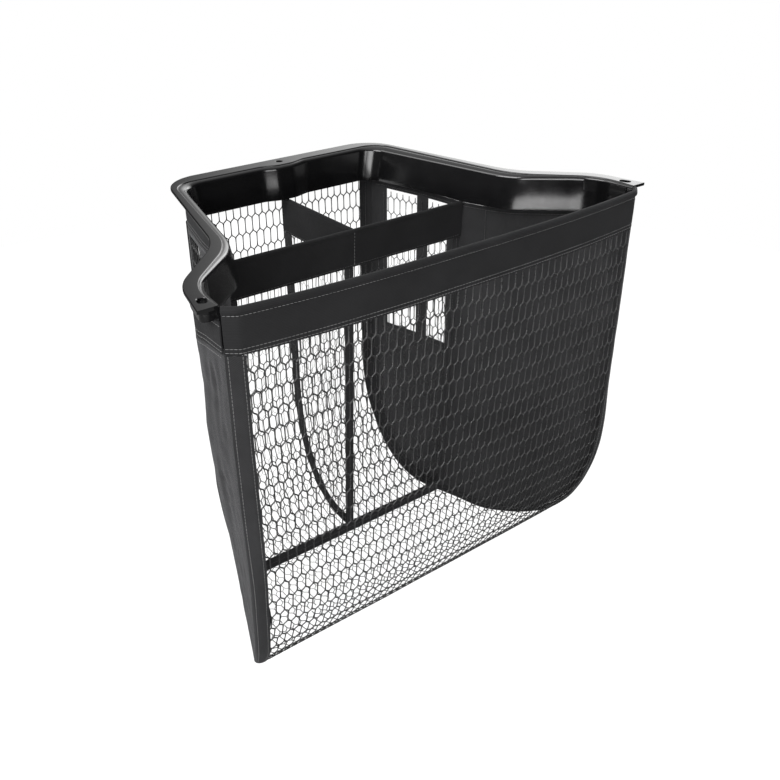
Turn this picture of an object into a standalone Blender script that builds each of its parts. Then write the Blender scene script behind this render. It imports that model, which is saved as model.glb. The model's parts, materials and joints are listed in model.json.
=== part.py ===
"""Hanging storage basket on a moulded rim.

A U-shaped glossy rim with an outward flange and a short skirt is screwed over
an opening.  A fabric band bridges its open front.  One wrap of knotted net
hangs from the bands as front, bottom and back, two solid fabric gussets close
the sides, and two net dividers with webbing tops split the inside.

Units are millimetres in the functions below and metres in the meshes.
X runs left to right along the front, +Y points to the narrow back, +Z is up.
The origin is the centre of the opening in the plane of the flange underside.
"""
import math

import bmesh
import bpy
import numpy as np

# ------------------------------------------------------------------ dimensions
MM = 0.001
Y0 = 130.0              # distance from the origin to the plane of the back net

FLANGE_T = 3.0          # flange thickness, underside at z = 0
SKIRT_T = 2.4           # skirt wall
SKIRT_BOTTOM = -34.3    # lower edge of the skirt
BAND_BOTTOM = -37.0     # lower edge of the hem bands
BAND_TOP = -10.2        # upper edge of the side and back bands
BAND_T = 1.5
NET_T = 1.2
GUSSET_T = 1.2
BINDING_T = 1.6
BINDING_W = 13.0
GAP = 0.4

HALF_FRONT = 232.5      # half width of the bag at its front corners
HALF_BACK = 119.0       # and at its back corners
FRONT_Y = -285.0        # front corner line, from the back net plane
FRONT_CORNER = 6.0      # how far the front face stands proud of its corner line
FRONT_BULGE = 11.0      # extra crown of the front face in its middle
BOTTOM_Z = -420.0
BOTTOM_CORNER = 4.0
BACK_Y = 1.0
BACK_CORNER = 8.2
CURVE_Z = -247.0        # where the front and back faces start to curve under
FRONT_ARC_Y = -195.0
BACK_ARC_Y = -100.0
FRONT_ARC_N = 2.25
BACK_ARC_N = 2.4

# plan outlines of half the rim: corner points (x, y) and corner radii, y from
# the plane of the back net, running from the middle of the back to the front
OUTER = ([(0, 21.5), (129.5, 21.5), (175, -167), (238.3, -229.5), (250.2, -281)], (42, 85, 62))
INNER = ([(0, 5.2), (127.4, 5.2), (167.7, -177.5), (232, -239), (232.6, -281)], (27, 85, 60))
SKIRT = ([(0, -1.2), (111, -1.2), (155, -176), (225.5, -237), (229, -281)], (21, 75, 55))
BAG_LOW = ([(0, 9.2), (121.5, 9.2), (161, -176), (206, -226), (HALF_FRONT - 4.0, FRONT_Y)], (31, 75, 70))
CORNER_STEPS = 9
RUN_STEPS = (3, 6, 2, 4)

SCREW_BACK = (0.0, 10.6)         # centre of the round hole in the back flange
SCREW_FRONT = (238.2, -266.0)    # centre of the slot in each front lug
SCREW_D = 7.2
SLOT_L = 11.5
SLOT_TURN = 20.0                 # degrees the slots turn outwards from the Y axis
BAG_OUTSET = 10.4                # from the skirt's inner lower edge out to the hanging cloth
BAG_FRONT_OUTSET = 3.4           # the same at the two front corners
BAG_FRONT_FADE = (-240.0, 30.0)  # where and how fast the one turns into the other
WAIST = (5.0, -124.0, 30.0)      # the long divider pulls the cloth in: depth, y, spread

WINDOWS = ((-17.0, -60.0), (-75.0, -104.0))   # net windows in each gusset, y from and to
WINDOW_TOP = -44.0
WINDOW_BOTTOM = -216.0

LONG_TOP_Y = -125.0     # long divider, at its top edge
LONG_LOW_Y = -112.0     # and at the bottom net
DIVIDER_TOP = -34.9
DIVIDER_BAND = 41.0
DIVIDER_BAND_T = 2.6
JOINT_W = 11.0          # vertical binding where the two dividers meet
SIDE_BINDING_W = 10.0
BOTTOM_BINDING_W = 15.0
CURVED_BINDING_W = 14.0


# -------------------------------------------------------------------- outlines
def rounded(corners, radii, steps=CORNER_STEPS, runs=RUN_STEPS):
    """Half outline with each corner replaced by an arc, evenly sampled."""
    pts = [np.array(p, float) for p in corners]
    joints = [(pts[0], pts[0])]
    arcs = []
    for i, r in enumerate(radii, 1):
        a, b, c = pts[i - 1], pts[i], pts[i + 1]
        u = (a - b) / np.linalg.norm(a - b)
        v = (c - b) / np.linalg.norm(c - b)
        half = math.acos(float(np.clip(u @ v, -1, 1))) / 2
        t = r / math.tan(half)
        p0, p1 = b + u * t, b + v * t
        centre = b + (u + v) / np.linalg.norm(u + v) * r / math.sin(half)
        a0 = math.atan2(*(p0 - centre)[::-1])
        a1 = math.atan2(*(p1 - centre)[::-1])
        d = (a1 - a0 + math.pi) % (2 * math.pi) - math.pi
        arcs.append([centre + r * np.array([math.cos(a0 + d * k / steps), math.sin(a0 + d * k / steps)])
                     for k in range(steps + 1)])
        joints.append((p0, p1))
    joints.append((pts[-1], pts[-1]))
    out = []
    for i in range(len(joints) - 1):
        a, b = joints[i][1], joints[i + 1][0]
        n = runs[i]
        out += [a + (b - a) * k / n for k in range(n)]
        if i < len(arcs):
            out += arcs[i][:-1]
    out.append(joints[-1][0])
    return np.array(out)


def bag_outset(rail, waist=0.0):
    """Offset of the cloth from a half outline, less towards the front and at the waist."""
    y = rail[:, 1]
    fade = np.where(y > BAG_FRONT_FADE[0], 1.0, np.exp(-((y - BAG_FRONT_FADE[0]) / BAG_FRONT_FADE[1]) ** 2))
    d = BAG_FRONT_OUTSET + (BAG_OUTSET - BAG_FRONT_OUTSET) * fade
    return d - waist * WAIST[0] * np.exp(-((y - WAIST[1]) / WAIST[2]) ** 2)


def outset(rail, d):
    """Move a half outline outwards by d; the first point stays on the mirror plane."""
    t = np.gradient(rail, axis=0)
    t[0] = (1, 0)
    t /= np.linalg.norm(t, axis=1)[:, None]
    n = np.stack([-t[:, 1], t[:, 0]], axis=1)
    moved = rail + n * np.reshape(d, (-1, 1))
    moved[0, 0] = 0.0
    moved[-1, 1] = rail[-1, 1]
    return moved


OUTER_RAIL = rounded(*OUTER)
INNER_RAIL = rounded(*INNER)
SKIRT_RAIL = rounded(*SKIRT)
SHOULDER_RAIL = SKIRT_RAIL + 0.37 * (INNER_RAIL - SKIRT_RAIL)
BAG_TOP_RAIL = outset(SKIRT_RAIL, bag_outset(SKIRT_RAIL, 1.0))
BAG_TOP_RAIL[-1] = (HALF_FRONT, FRONT_Y)
BAG_LOW_RAIL = rounded(*BAG_LOW)


def skirt_rail(z):
    """Inner face of the drafted skirt at height z."""
    k = min(max((z - SKIRT_BOTTOM) / (-4.0 - SKIRT_BOTTOM), 0.0), 1.0)
    return SKIRT_RAIL + (SHOULDER_RAIL - SKIRT_RAIL) * k


def side_point(u, z):
    """Bag side at position u along the outline (0 back centre, 1 front corner)."""
    k = min(max((-z - 120.0) / 300.0, 0.0), 1.0)
    rail = BAG_TOP_RAIL + (BAG_LOW_RAIL - BAG_TOP_RAIL) * k
    f = u * (len(rail) - 1)
    i = min(int(f), len(rail) - 2)
    return rail[i] + (rail[i + 1] - rail[i]) * (f - i)


def side_u(y, z=-40.0):
    """Position along the outline where the side crosses y (beyond the back corner)."""
    lo, hi = 0.12, 1.0
    for _ in range(40):
        mid = (lo + hi) / 2
        if side_point(mid, z)[1] > y:
            lo = mid
        else:
            hi = mid
    return (lo + hi) / 2


def side_x(y, z):
    """Half width of the bag at y and z."""
    k = min(max((-z - 120.0) / 300.0, 0.0), 1.0)
    rail = BAG_TOP_RAIL + (BAG_LOW_RAIL - BAG_TOP_RAIL) * k
    keep = rail[:, 1] < -8.0
    r = rail[keep]
    x = float(np.interp(-y, -r[:, 1], r[:, 0]))
    if y > -14.0:
        x0 = float(np.interp(14.0, -r[:, 1], r[:, 0]))
        x = x0 + (HALF_BACK - x0) * (y + 14.0) / (14.0 + BACK_Y)
    return x


# -------------------------------------------------------------- bag profile
def profile_points():
    """Side profile (y, z) from the front hem down, under and up to the back hem."""
    pts = [(FRONT_Y, BAND_BOTTOM - GAP + (CURVE_Z - BAND_BOTTOM + GAP) * k / 6) for k in range(6)]
    for k in range(13):
        a = math.radians(90.0 * k / 12)
        e = 2.0 / FRONT_ARC_N
        pts.append((FRONT_ARC_Y + (FRONT_Y - FRONT_ARC_Y) * max(math.cos(a), 0.0) ** e,
                    CURVE_Z + (BOTTOM_Z - CURVE_Z) * math.sin(a) ** e))
    for k in range(1, 4):
        pts.append((FRONT_ARC_Y + (BACK_ARC_Y - FRONT_ARC_Y) * k / 4, BOTTOM_Z))
    for k in range(13):
        a = math.radians(90.0 * (12 - k) / 12)
        e = 2.0 / BACK_ARC_N
        pts.append((BACK_ARC_Y + (BACK_Y - BACK_ARC_Y) * max(math.cos(a), 0.0) ** e,
                    CURVE_Z + (BOTTOM_Z - CURVE_Z) * math.sin(a) ** e))
    pts += [(BACK_Y, CURVE_Z + (BAND_BOTTOM - GAP - CURVE_Z) * k / 6) for k in range(1, 7)]
    return np.array(pts)


PROFILE = profile_points()
_step = np.linalg.norm(np.diff(PROFILE, axis=0), axis=1)
PROFILE_S = np.concatenate([[0.0], np.cumsum(_step)])
PROFILE_LENGTH = float(PROFILE_S[-1])


def profile(s):
    """Point and outward normal of the side profile at arc length s."""
    y = float(np.interp(s, PROFILE_S, PROFILE[:, 0]))
    z = float(np.interp(s, PROFILE_S, PROFILE[:, 1]))
    a, b = max(s - 6.0, 0.0), min(s + 6.0, PROFILE_LENGTH)
    t = np.array([np.interp(b, PROFILE_S, PROFILE[:, 0]) - np.interp(a, PROFILE_S, PROFILE[:, 0]),
                  np.interp(b, PROFILE_S, PROFILE[:, 1]) - np.interp(a, PROFILE_S, PROFILE[:, 1])])
    t /= np.linalg.norm(t)
    return y, z, np.array([t[1], -t[0]])


def profile_s(y, front=False):
    """Arc length where the curved bottom passes y, on its back or front half."""
    half = PROFILE_LENGTH / 2
    keep = PROFILE_S <= half if front else PROFILE_S >= half
    return float(np.interp(y, PROFILE[keep][:, 0], PROFILE_S[keep]))


def bottom_z(y, inset=0.0):
    """Height of the curved bottom at y, on a profile drawn in by inset."""
    low = BOTTOM_Z + inset
    if y <= FRONT_ARC_Y:
        k = min((FRONT_ARC_Y - y) / (FRONT_ARC_Y - FRONT_Y - inset), 1.0)
        n = FRONT_ARC_N
    elif y >= BACK_ARC_Y:
        k = min((y - BACK_ARC_Y) / (BACK_Y - inset - BACK_ARC_Y), 1.0)
        n = BACK_ARC_N
    else:
        return low
    return CURVE_Z + (low - CURVE_Z) * (1.0 - k ** n) ** (1.0 / n)


def smooth(k):
    k = min(max(k, 0.0), 1.0)
    return k * k * (3 - 2 * k)


FRONT_END = float(np.interp(FRONT_ARC_Y, PROFILE[:20, 0], PROFILE_S[:20]))
BACK_START = profile_s(BACK_ARC_Y)


def half_width(s):
    y, z, _ = profile(s)
    return side_x(y, z)


def wrap_point(x, s):
    """Middle surface of the net wrap at x and arc length s, in y and z."""
    y, z, n = profile(s)
    w = half_width(s)
    if s < FRONT_END:
        corner = FRONT_CORNER + (BOTTOM_CORNER - FRONT_CORNER) * smooth(s / FRONT_END)
    else:
        corner = BOTTOM_CORNER + (BACK_CORNER - BOTTOM_CORNER) * smooth((s - BACK_START) / 200.0)
    crown = FRONT_BULGE * (1.0 - 0.55 * smooth(s / 260.0)) * (1.0 - smooth((s - 190.0) / (FRONT_END - 190.0)))
    a = abs(x)
    edge = min(max((a - (w - 8.0)) / 8.0, 0.0), 1.0)
    lift = corner * math.sqrt(max(1.0 - edge * edge, 0.0))
    lift += crown * max(1.0 - (a / (w - 8.0)) ** 2.6, 0.0)
    return y + n[0] * lift, z + n[1] * lift


# ------------------------------------------------------------------- meshing
def clear_scene():
    for ob in list(bpy.data.objects):
        bpy.data.objects.remove(ob, do_unlink=True)


def material(name, colour, roughness, metallic=0.0):
    m = bpy.data.materials.get(name)
    if m is None:
        m = bpy.data.materials.new(name)
        m.use_nodes = True
        shader = m.node_tree.nodes["Principled BSDF"]
        shader.inputs["Base Color"].default_value = (*colour, 1.0)
        shader.inputs["Roughness"].default_value = roughness
        shader.inputs["Metallic"].default_value = metallic
    return m


def add_object(name, verts, faces, mat, smooth_angle=None):
    me = bpy.data.meshes.new(name)
    me.from_pydata([(float(x) * MM, (float(y) + Y0) * MM, float(z) * MM) for x, y, z in verts], [], faces)
    bm = bmesh.new()
    bm.from_mesh(me)
    bmesh.ops.recalc_face_normals(bm, faces=bm.faces)
    bm.to_mesh(me)
    bm.free()
    me.validate()
    ob = bpy.data.objects.new(name, me)
    bpy.context.scene.collection.objects.link(ob)
    ob.parent = ROOT
    me.materials.append(mat)
    if smooth_angle:
        me.shade_smooth()
        me.set_sharp_from_angle(angle=math.radians(smooth_angle))
    return ob


def sheet(name, grid, thickness, mat, mask=None, mirror=False, smooth_angle=35.0):
    """Closed thin solid around a grid of points; cells left out of mask are holes."""
    g = np.array(grid, float)
    if mirror:
        g[:, :, 0] *= -1
    n, m = g.shape[:2]
    du = np.gradient(g, axis=0)
    dv = np.gradient(g, axis=1)
    nrm = np.cross(du, dv)
    nrm /= np.maximum(np.linalg.norm(nrm, axis=2), 1e-9)[:, :, None]
    top, low = g + nrm * thickness / 2, g - nrm * thickness / 2
    used = np.ones((n - 1, m - 1), bool) if mask is None else np.array(mask, bool)
    index, verts, faces = {}, [], []

    def vid(side, i, j):
        key = (side, i, j)
        if key not in index:
            index[key] = len(verts)
            verts.append((top if side else low)[i, j])
        return index[key]

    for i in range(n - 1):
        for j in range(m - 1):
            if not used[i, j]:
                continue
            ring = ((i, j), (i + 1, j), (i + 1, j + 1), (i, j + 1))
            faces.append([vid(1, *p) for p in ring])
            faces.append([vid(0, *p) for p in reversed(ring)])
            sides = (((i, j), (i + 1, j), (i, j - 1)), ((i + 1, j), (i + 1, j + 1), (i + 1, j)),
                     ((i + 1, j + 1), (i, j + 1), (i, j + 1)), ((i, j + 1), (i, j), (i - 1, j)))
            for a, b, cell in sides:
                ci, cj = cell
                if 0 <= ci < n - 1 and 0 <= cj < m - 1 and used[ci, cj]:
                    continue
                faces.append([vid(1, *b), vid(1, *a), vid(0, *a), vid(0, *b)])
    return add_object(name, verts, faces, mat, smooth_angle)


def loft(name, loops, mat, smooth_angle=40.0):
    """Closed solid through equal closed section loops, capped at both ends."""
    verts = [p for loop in loops for p in loop]
    m = len(loops[0])
    faces = []
    for i in range(len(loops) - 1):
        for j in range(m):
            k = (j + 1) % m
            faces.append([i * m + j, i * m + k, (i + 1) * m + k, (i + 1) * m + j])
    faces.append(list(range(m)))
    faces.append([(len(loops) - 1) * m + j for j in reversed(range(m))])
    return add_object(name, verts, faces, mat, smooth_angle)


def both_sides(rail):
    """Full outline, front left to front right, from a right half outline."""
    left = rail[::-1].copy()
    left[:, 0] *= -1
    return np.concatenate([left[:-1], rail])


def cut(ob, cutters):
    for c in cutters:
        c.hide_render = True
        c.display_type = "WIRE"
        b = ob.modifiers.new("hole", "BOOLEAN")
        b.operation = "DIFFERENCE"
        b.solver = "EXACT"
        b.object = c


# -------------------------------------------------------------------- pieces
def build_rim(mat):
    k = 0.8
    steps = [
        (outset(SKIRT_RAIL, bag_outset(SKIRT_RAIL) + 1.4), 0.0),
        (outset(OUTER_RAIL, -0.5), 0.0),
        (OUTER_RAIL, 0.5),
        (OUTER_RAIL, FLANGE_T - k),
        (outset(OUTER_RAIL, -0.25), FLANGE_T - 0.25),
        (outset(OUTER_RAIL, -k), FLANGE_T),
        (outset(INNER_RAIL, k), FLANGE_T),
        (outset(INNER_RAIL, 0.2), FLANGE_T - 0.2),
    ]
    for f, z in ((0.06, 1.9), (0.20, 1.5), (0.52, 1.25), (0.72, 0.5), (0.88, -1.1)):
        steps.append((INNER_RAIL + (SHOULDER_RAIL - INNER_RAIL) * f, z))
    steps += [
        (SHOULDER_RAIL, -4.0),
        (SKIRT_RAIL, SKIRT_BOTTOM + 0.8),
        (outset(SKIRT_RAIL, 0.7), SKIRT_BOTTOM),
        (outset(SKIRT_RAIL, SKIRT_T - 0.7), SKIRT_BOTTOM),
        (outset(SKIRT_RAIL, SKIRT_T), SKIRT_BOTTOM + 0.8),
        (outset(skirt_rail(-9.6), SKIRT_T), -9.6),
        (outset(SKIRT_RAIL, bag_outset(SKIRT_RAIL)), -9.6),
        (outset(SKIRT_RAIL, bag_outset(SKIRT_RAIL)), -4.8),
        (outset(SKIRT_RAIL, bag_outset(SKIRT_RAIL) + 1.4), -4.8),
    ]
    # the skirt steps forward a little in the middle of the back
    rails = []
    for rail, z in steps:
        full = both_sides(rail)
        rails.append([(x, y, z) for x, y in full])
    loops = [[rails[j][i] for j in range(len(rails))] for i in range(len(rails[0]))]
    rim = loft("rim_frame", loops, mat, 32.0)

    cutters = []
    spots = [(SCREW_BACK, SCREW_D, 0.0), (SCREW_FRONT, SLOT_L, SLOT_TURN),
             ((-SCREW_FRONT[0], SCREW_FRONT[1]), SLOT_L, -SLOT_TURN)]
    for i, ((x, y), length, turn) in enumerate(spots):
        verts, n, turn = [], 24, math.radians(turn)
        for z in (-14.0, FLANGE_T + 2.0):
            for q in range(n):
                a = 2 * math.pi * (q + 0.5) / n
                across = SCREW_D / 2 * math.cos(a)
                along = SCREW_D / 2 * math.sin(a) + math.copysign((length - SCREW_D) / 2, math.sin(a))
                verts.append((x + across * math.cos(turn) - along * math.sin(turn),
                              y + across * math.sin(turn) + along * math.cos(turn), z))
        faces = [[q, (q + 1) % n, n + (q + 1) % n, n + q] for q in range(n)]
        faces += [list(reversed(range(n))), list(range(n, 2 * n))]
        cutters.append(add_object(f"hole_cutter_{i}", verts, faces, mat))
    cut(rim, cutters)


def front_line(samples):
    """Plan line of the front band's middle surface, left to right."""
    pts = []
    for x in samples:
        y, _ = wrap_point(x, 0.0)
        pts.append((x, y))
    return pts


FRONT_X = ([-HALF_FRONT, -231.9, -230.7, -228.5, -224.5, -215.0, -195.0]
           + [-165.0 + 30.0 * k for k in range(12)]
           + [195.0, 215.0, 224.5, 228.5, 230.7, 231.9, HALF_FRONT])


def build_front_band(mat, rod_mat):
    line = np.array(front_line(FRONT_X))
    t = np.gradient(line, axis=0)
    t /= np.linalg.norm(t, axis=1)[:, None]
    n = np.stack([t[:, 1], -t[:, 0]], axis=1)          # towards the front
    # section: a folded tube on top, two layers of webbing below (offset, z)
    top, fold = FLANGE_T, 7.0
    section = [(1.0, BAND_BOTTOM), (1.2, BAND_BOTTOM + 0.6), (1.2, top - fold)]
    for q in range(9):
        a = math.radians(-60 + 300 * q / 8)
        section.append((2.6 * math.cos(a), top - 3.4 + 3.4 * math.sin(a)))
    section += [(-1.2, top - fold), (-1.2, BAND_BOTTOM + 0.6), (-1.0, BAND_BOTTOM)]
    outer, holes = len(section), 8
    loops_o = [[(p[0] + d[0] * o, p[1] + d[1] * o, z) for o, z in section] for p, d in zip(line, n)]
    ring = [(1.35 * math.cos(2 * math.pi * q / holes), top - 3.4 + 1.35 * math.sin(2 * math.pi * q / holes))
            for q in range(holes)]
    band = loft("front_band", loops_o, mat, 45.0)
    hole = loft("front_band_channel", [[(p[0] + d[0] * o, p[1] + d[1] * o, z) for o, z in ring]
                                       for p, d in zip(extend(line), extend_n(n))], mat)
    cut(band, [hole])
    rod = [(0.95 * math.cos(2 * math.pi * q / holes), top - 3.4 + 0.95 * math.sin(2 * math.pi * q / holes))
           for q in range(holes)]
    inner = slice(2, -2)
    loft("front_hem_rod", [[(p[0] + d[0] * o, p[1] + d[1] * o, z) for o, z in rod]
                           for p, d in zip(line[inner], n[inner])], rod_mat, 60.0)


def extend(line):
    line = line.copy()
    line[0] += (line[0] - line[1]) / np.linalg.norm(line[0] - line[1]) * 2
    line[-1] += (line[-1] - line[-2]) / np.linalg.norm(line[-1] - line[-2]) * 2
    return line


def extend_n(n):
    return n


def band_column(u):
    """Middle line of the hem band at outline position u, from its top to its bottom."""
    col = []
    for z in (BAND_TOP, -20.0, SKIRT_BOTTOM, BAND_BOTTOM):
        rail = outset(SKIRT_RAIL, bag_outset(SKIRT_RAIL, min(max((-12.0 - z) / 24.0, 0.0), 1.0)))
        f = u * (len(rail) - 1)
        i = min(int(f), len(rail) - 2)
        p = rail[i] + (rail[i + 1] - rail[i]) * (f - i)
        col.append((p[0], p[1], z))
    return col


def build_bands(mat):
    last = len(SKIRT_RAIL) - 1
    corner = 6                       # outline sample where back band and side band meet
    rows = [band_column((corner + 0.1) / last)]
    rows += [band_column(i / last) for i in range(corner + 1, last + 1)]
    sheet("right_side_band", rows, BAND_T, mat)
    sheet("left_side_band", rows, BAND_T, mat, mirror=True)
    rows = [band_column(i / last) for i in range(corner)] + [band_column((corner - 0.1) / last)]
    left = [[(-x, y, z) for x, y, z in col] for col in rows[:0:-1]]
    sheet("back_band", left + rows, BAND_T, mat)


def wrap_grid(s_values, fractions, inset):
    rows = []
    for s in s_values:
        w = half_width(s) - inset
        row = []
        for f in fractions:
            x = w * f
            y, z = wrap_point(x, s)
            row.append((x, y, z))
        rows.append(row)
    return rows


def between(a, b, count):
    return [a + (b - a) * k / count for k in range(count + 1)]


NET_X = between(-1.0, 1.0, 10)
FRONT_STATIONS = between(0.0, 205.0, 4) + between(225.0, FRONT_END, 10)
BOTTOM_STATIONS = between(FRONT_END, BACK_START, 8)
BACK_STATIONS = between(BACK_START, PROFILE_LENGTH - 215.0, 10) + between(PROFILE_LENGTH - 195.0, PROFILE_LENGTH, 4)


def build_nets(mat):
    inset = BINDING_W + GAP
    seam = GAP / 2
    for name, stations, first, last in (("front_net", FRONT_STATIONS, 0.0, -seam),
                                        ("bottom_net", BOTTOM_STATIONS, seam, -seam),
                                        ("back_net", BACK_STATIONS, seam, 0.0)):
        s = [stations[0] + first] + stations[1:-1] + [stations[-1] + last]
        sheet(name, wrap_grid(s, NET_X, inset), NET_T, mat)


def binding_grid(s_values):
    rows = []
    for s in s_values:
        w = half_width(s)
        row = []
        for d in (BINDING_W, 8.0, 4.5, 1.8, 0.0):
            x = w - d
            y, z = wrap_point(x, s)
            row.append((x, y, z))
        rows.append(row)
    return rows


def build_bindings(mat):
    half = len(BOTTOM_STATIONS) // 2
    front = FRONT_STATIONS + BOTTOM_STATIONS[1:half] + [BOTTOM_STATIONS[half] - GAP / 2]
    back = [BOTTOM_STATIONS[half] + GAP / 2] + BOTTOM_STATIONS[half + 1:] + BACK_STATIONS[1:]
    for side, mirror in (("right", False), ("left", True)):
        sheet(f"{side}_front_corner_binding", binding_grid(front), BINDING_T, mat, mirror=mirror)
        sheet(f"{side}_back_corner_binding", binding_grid(back), BINDING_T, mat, mirror=mirror)


def gusset_foot(u):
    """Height of the gusset's lower edge at outline position u."""
    z = CURVE_Z
    for _ in range(60):
        y = side_point(u, z)[1]
        z = 0.5 * z + 0.5 * bottom_z(y, 2.2)
    return z


def build_gussets(mat, net_mat):
    u_start = side_u(BACK_Y - 2.6)
    u_last = side_u(FRONT_Y + 2.4)
    marks = [u_start, side_u(-12.0)]
    for a, b in WINDOWS:
        marks += between(side_u(a), side_u(b), 3)
    marks += [side_u(y) for y in (-120, -136, -150, -162, -172, -182, -192, -200, -207, -214, -221,
                                  -228, -235, -243, -250, -257, -263, -268, -273, -277, -280)] + [u_last]
    top = BAND_BOTTOM - GAP
    cols, rows_top = [], [top, WINDOW_TOP, (WINDOW_TOP + WINDOW_BOTTOM) / 2, WINDOW_BOTTOM]
    low_steps = 6
    for u in marks:
        foot = gusset_foot(u)
        col = []
        zs = rows_top + [WINDOW_BOTTOM + (foot - WINDOW_BOTTOM) * k / low_steps for k in range(1, low_steps + 1)]
        for z in zs:
            x, y = side_point(u, z)
            col.append((x, y, z))
        cols.append(col)
    n, m = len(cols) - 1, len(cols[0]) - 1
    mask = np.ones((n, m), bool)
    for w in range(len(WINDOWS)):
        first = 2 + 4 * w
        mask[first:first + 3, 1:3] = False
    for side, mirror in (("right", False), ("left", True)):
        sheet(f"{side}_gusset", cols, GUSSET_T, mat, mask=mask, mirror=mirror)
    for w, (a, b) in enumerate(WINDOWS):
        name = ("rear", "front")[w]
        grid = []
        for u in between(side_u(a - GAP), side_u(b + GAP), 3):
            col = []
            for z in (WINDOW_TOP - GAP, (WINDOW_TOP + WINDOW_BOTTOM) / 2, WINDOW_BOTTOM + GAP):
                x, y = side_point(u, z)
                col.append((x, y, z))
            grid.append(col)
        for side, mirror in (("right", False), ("left", True)):
            sheet(f"{side}_{name}_window_net", grid, 0.9, net_mat, mirror=mirror)


def long_y(z):
    return LONG_TOP_Y + (LONG_LOW_Y - LONG_TOP_Y) * (DIVIDER_TOP - z) / (DIVIDER_TOP - BOTTOM_Z)


def plane_grid(xs, zs):
    return [[(x(z) if callable(x) else x, long_y(z), z) for z in zs] for x in xs]


def band_section(top, bottom, half):
    """Folded band section: rounded top, flat sides, as (offset, z) pairs."""
    pts = [(-half * 0.7, bottom), (-half, bottom + 0.8), (-half, top - half * 1.4)]
    for q in range(7):
        a = math.radians(180 - 30 * q)
        pts.append((half * 1.15 * math.cos(a), top - half * 1.15 + half * 1.15 * math.sin(a)))
    return pts + [(half, top - half * 1.4), (half, bottom + 0.8), (half * 0.7, bottom)]


def build_long_divider(band_mat, net_mat, bind_mat):
    low = DIVIDER_TOP - DIVIDER_BAND
    end = lambda z: side_x(long_y(z), z) - GUSSET_T / 2 - GAP - 1.0
    section = band_section(DIVIDER_TOP, low, DIVIDER_BAND_T / 2)
    loops = []
    for f in between(-1.0, 1.0, 8):
        loops.append([(end(-45.0) * f, long_y(z) + o, z) for o, z in section])
    loft("long_divider_band", loops, band_mat, 50.0)

    net_top = low - GAP
    bind_low = BOTTOM_Z - BOTTOM_CORNER + NET_T / 2 + GAP
    net_low = bind_low + BOTTOM_BINDING_W + GAP
    zs = between(net_top, net_low, 6)
    right_in = lambda z: end(z) - SIDE_BINDING_W - GAP
    left_in = lambda z: -(end(z) - SIDE_BINDING_W - GAP)
    quarter = lambda f, a, b: (lambda z: a(z) + (b(z) - a(z)) * f)
    zero = lambda z: GAP
    joint = lambda z: -JOINT_W - GAP
    sheet("long_divider_net_right", plane_grid([quarter(f, zero, right_in) for f in between(0, 1, 3)], zs),
          1.0, net_mat)
    sheet("long_divider_net_left", plane_grid([quarter(f, left_in, joint) for f in between(0, 1, 3)], zs),
          1.0, net_mat)
    sheet("divider_joint_binding", plane_grid([-JOINT_W, 0.0], zs), BINDING_T, bind_mat)
    zs_side = between(net_top, BOTTOM_Z + 3.0, 6)
    sheet("long_divider_right_binding",
          plane_grid([lambda z: end(z) - SIDE_BINDING_W, end], zs_side), BINDING_T, bind_mat)
    sheet("long_divider_left_binding",
          plane_grid([lambda z: -end(z), lambda z: -end(z) + SIDE_BINDING_W], zs_side), BINDING_T, bind_mat)
    w = end(bind_low) - SIDE_BINDING_W - GAP
    sheet("long_divider_bottom_binding",
          plane_grid(between(-w, w, 6), between(net_low - GAP, bind_low, 2)), BINDING_T + 0.2, bind_mat)


def build_short_divider(band_mat, net_mat, bind_mat):
    low = DIVIDER_TOP - DIVIDER_BAND
    front = LONG_TOP_Y + DIVIDER_BAND_T / 2 * 1.15 + GAP
    back = BACK_Y + BACK_CORNER - NET_T / 2 - GAP
    section = band_section(DIVIDER_TOP, low, DIVIDER_BAND_T / 2)
    loft("short_divider_band",
         [[(o, y + (long_y(z) - LONG_TOP_Y if k == 0 else 0.0), z) for o, z in section]
          for k, y in enumerate(between(front, back, 4))], band_mat, 50.0)

    # curved binding along the back wall and the bottom, as an offset of the profile
    top = low - GAP
    s_back = PROFILE_LENGTH - (BAND_BOTTOM - GAP - top)
    s_front = profile_s(long_y(BOTTOM_Z) + BINDING_T / 2 + GAP + 1.0)
    rows = []
    for s in between(s_back, s_front, 30):
        y, z = wrap_point(0.0, s)
        _, _, n = profile(s)
        a, b = NET_T / 2 + 1.1, NET_T / 2 + 1.1 + CURVED_BINDING_W
        rows.append([(0.0, y - n[0] * a, z - n[1] * a), (0.0, y - n[0] * b, z - n[1] * b)])
    # the ends are cut level at the band and along the long divider
    for k in (0, 1):
        x, y, z = rows[0][k]
        rows[0][k] = (x, y, top)
        x, y, z = rows[-1][k]
        rows[-1][k] = (x, long_y(z) + BINDING_T / 2 + GAP, z)
    sheet("short_divider_curved_binding", rows, BINDING_T, bind_mat)
    inner = np.array([r[1] for r in rows])
    cols = []
    y_first = inner[0][1] - GAP
    # columns from the long divider to the back wall
    stations = between(LONG_TOP_Y + 3.0, y_first, 14)
    for k, y in enumerate(stations):
        foot = float(np.interp(y, inner[::-1, 1], inner[::-1, 2])) + 1.0
        if k == len(stations) - 1:
            foot = CURVE_Z + 12.0
        zs = between(top, foot, 6)
        col = []
        for z in zs:
            yy = y if k else long_y(z) + BINDING_T / 2 + GAP
            col.append((0.0, max(yy, long_y(z) + BINDING_T / 2 + GAP + 0.5 * k), z))
        cols.append(col)
    sheet("short_divider_net", cols, 1.0, net_mat)


# --------------------------------------------------------------------- build
clear_scene()
ROOT = bpy.data.objects.new("basket", None)
bpy.context.scene.collection.objects.link(ROOT)

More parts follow.
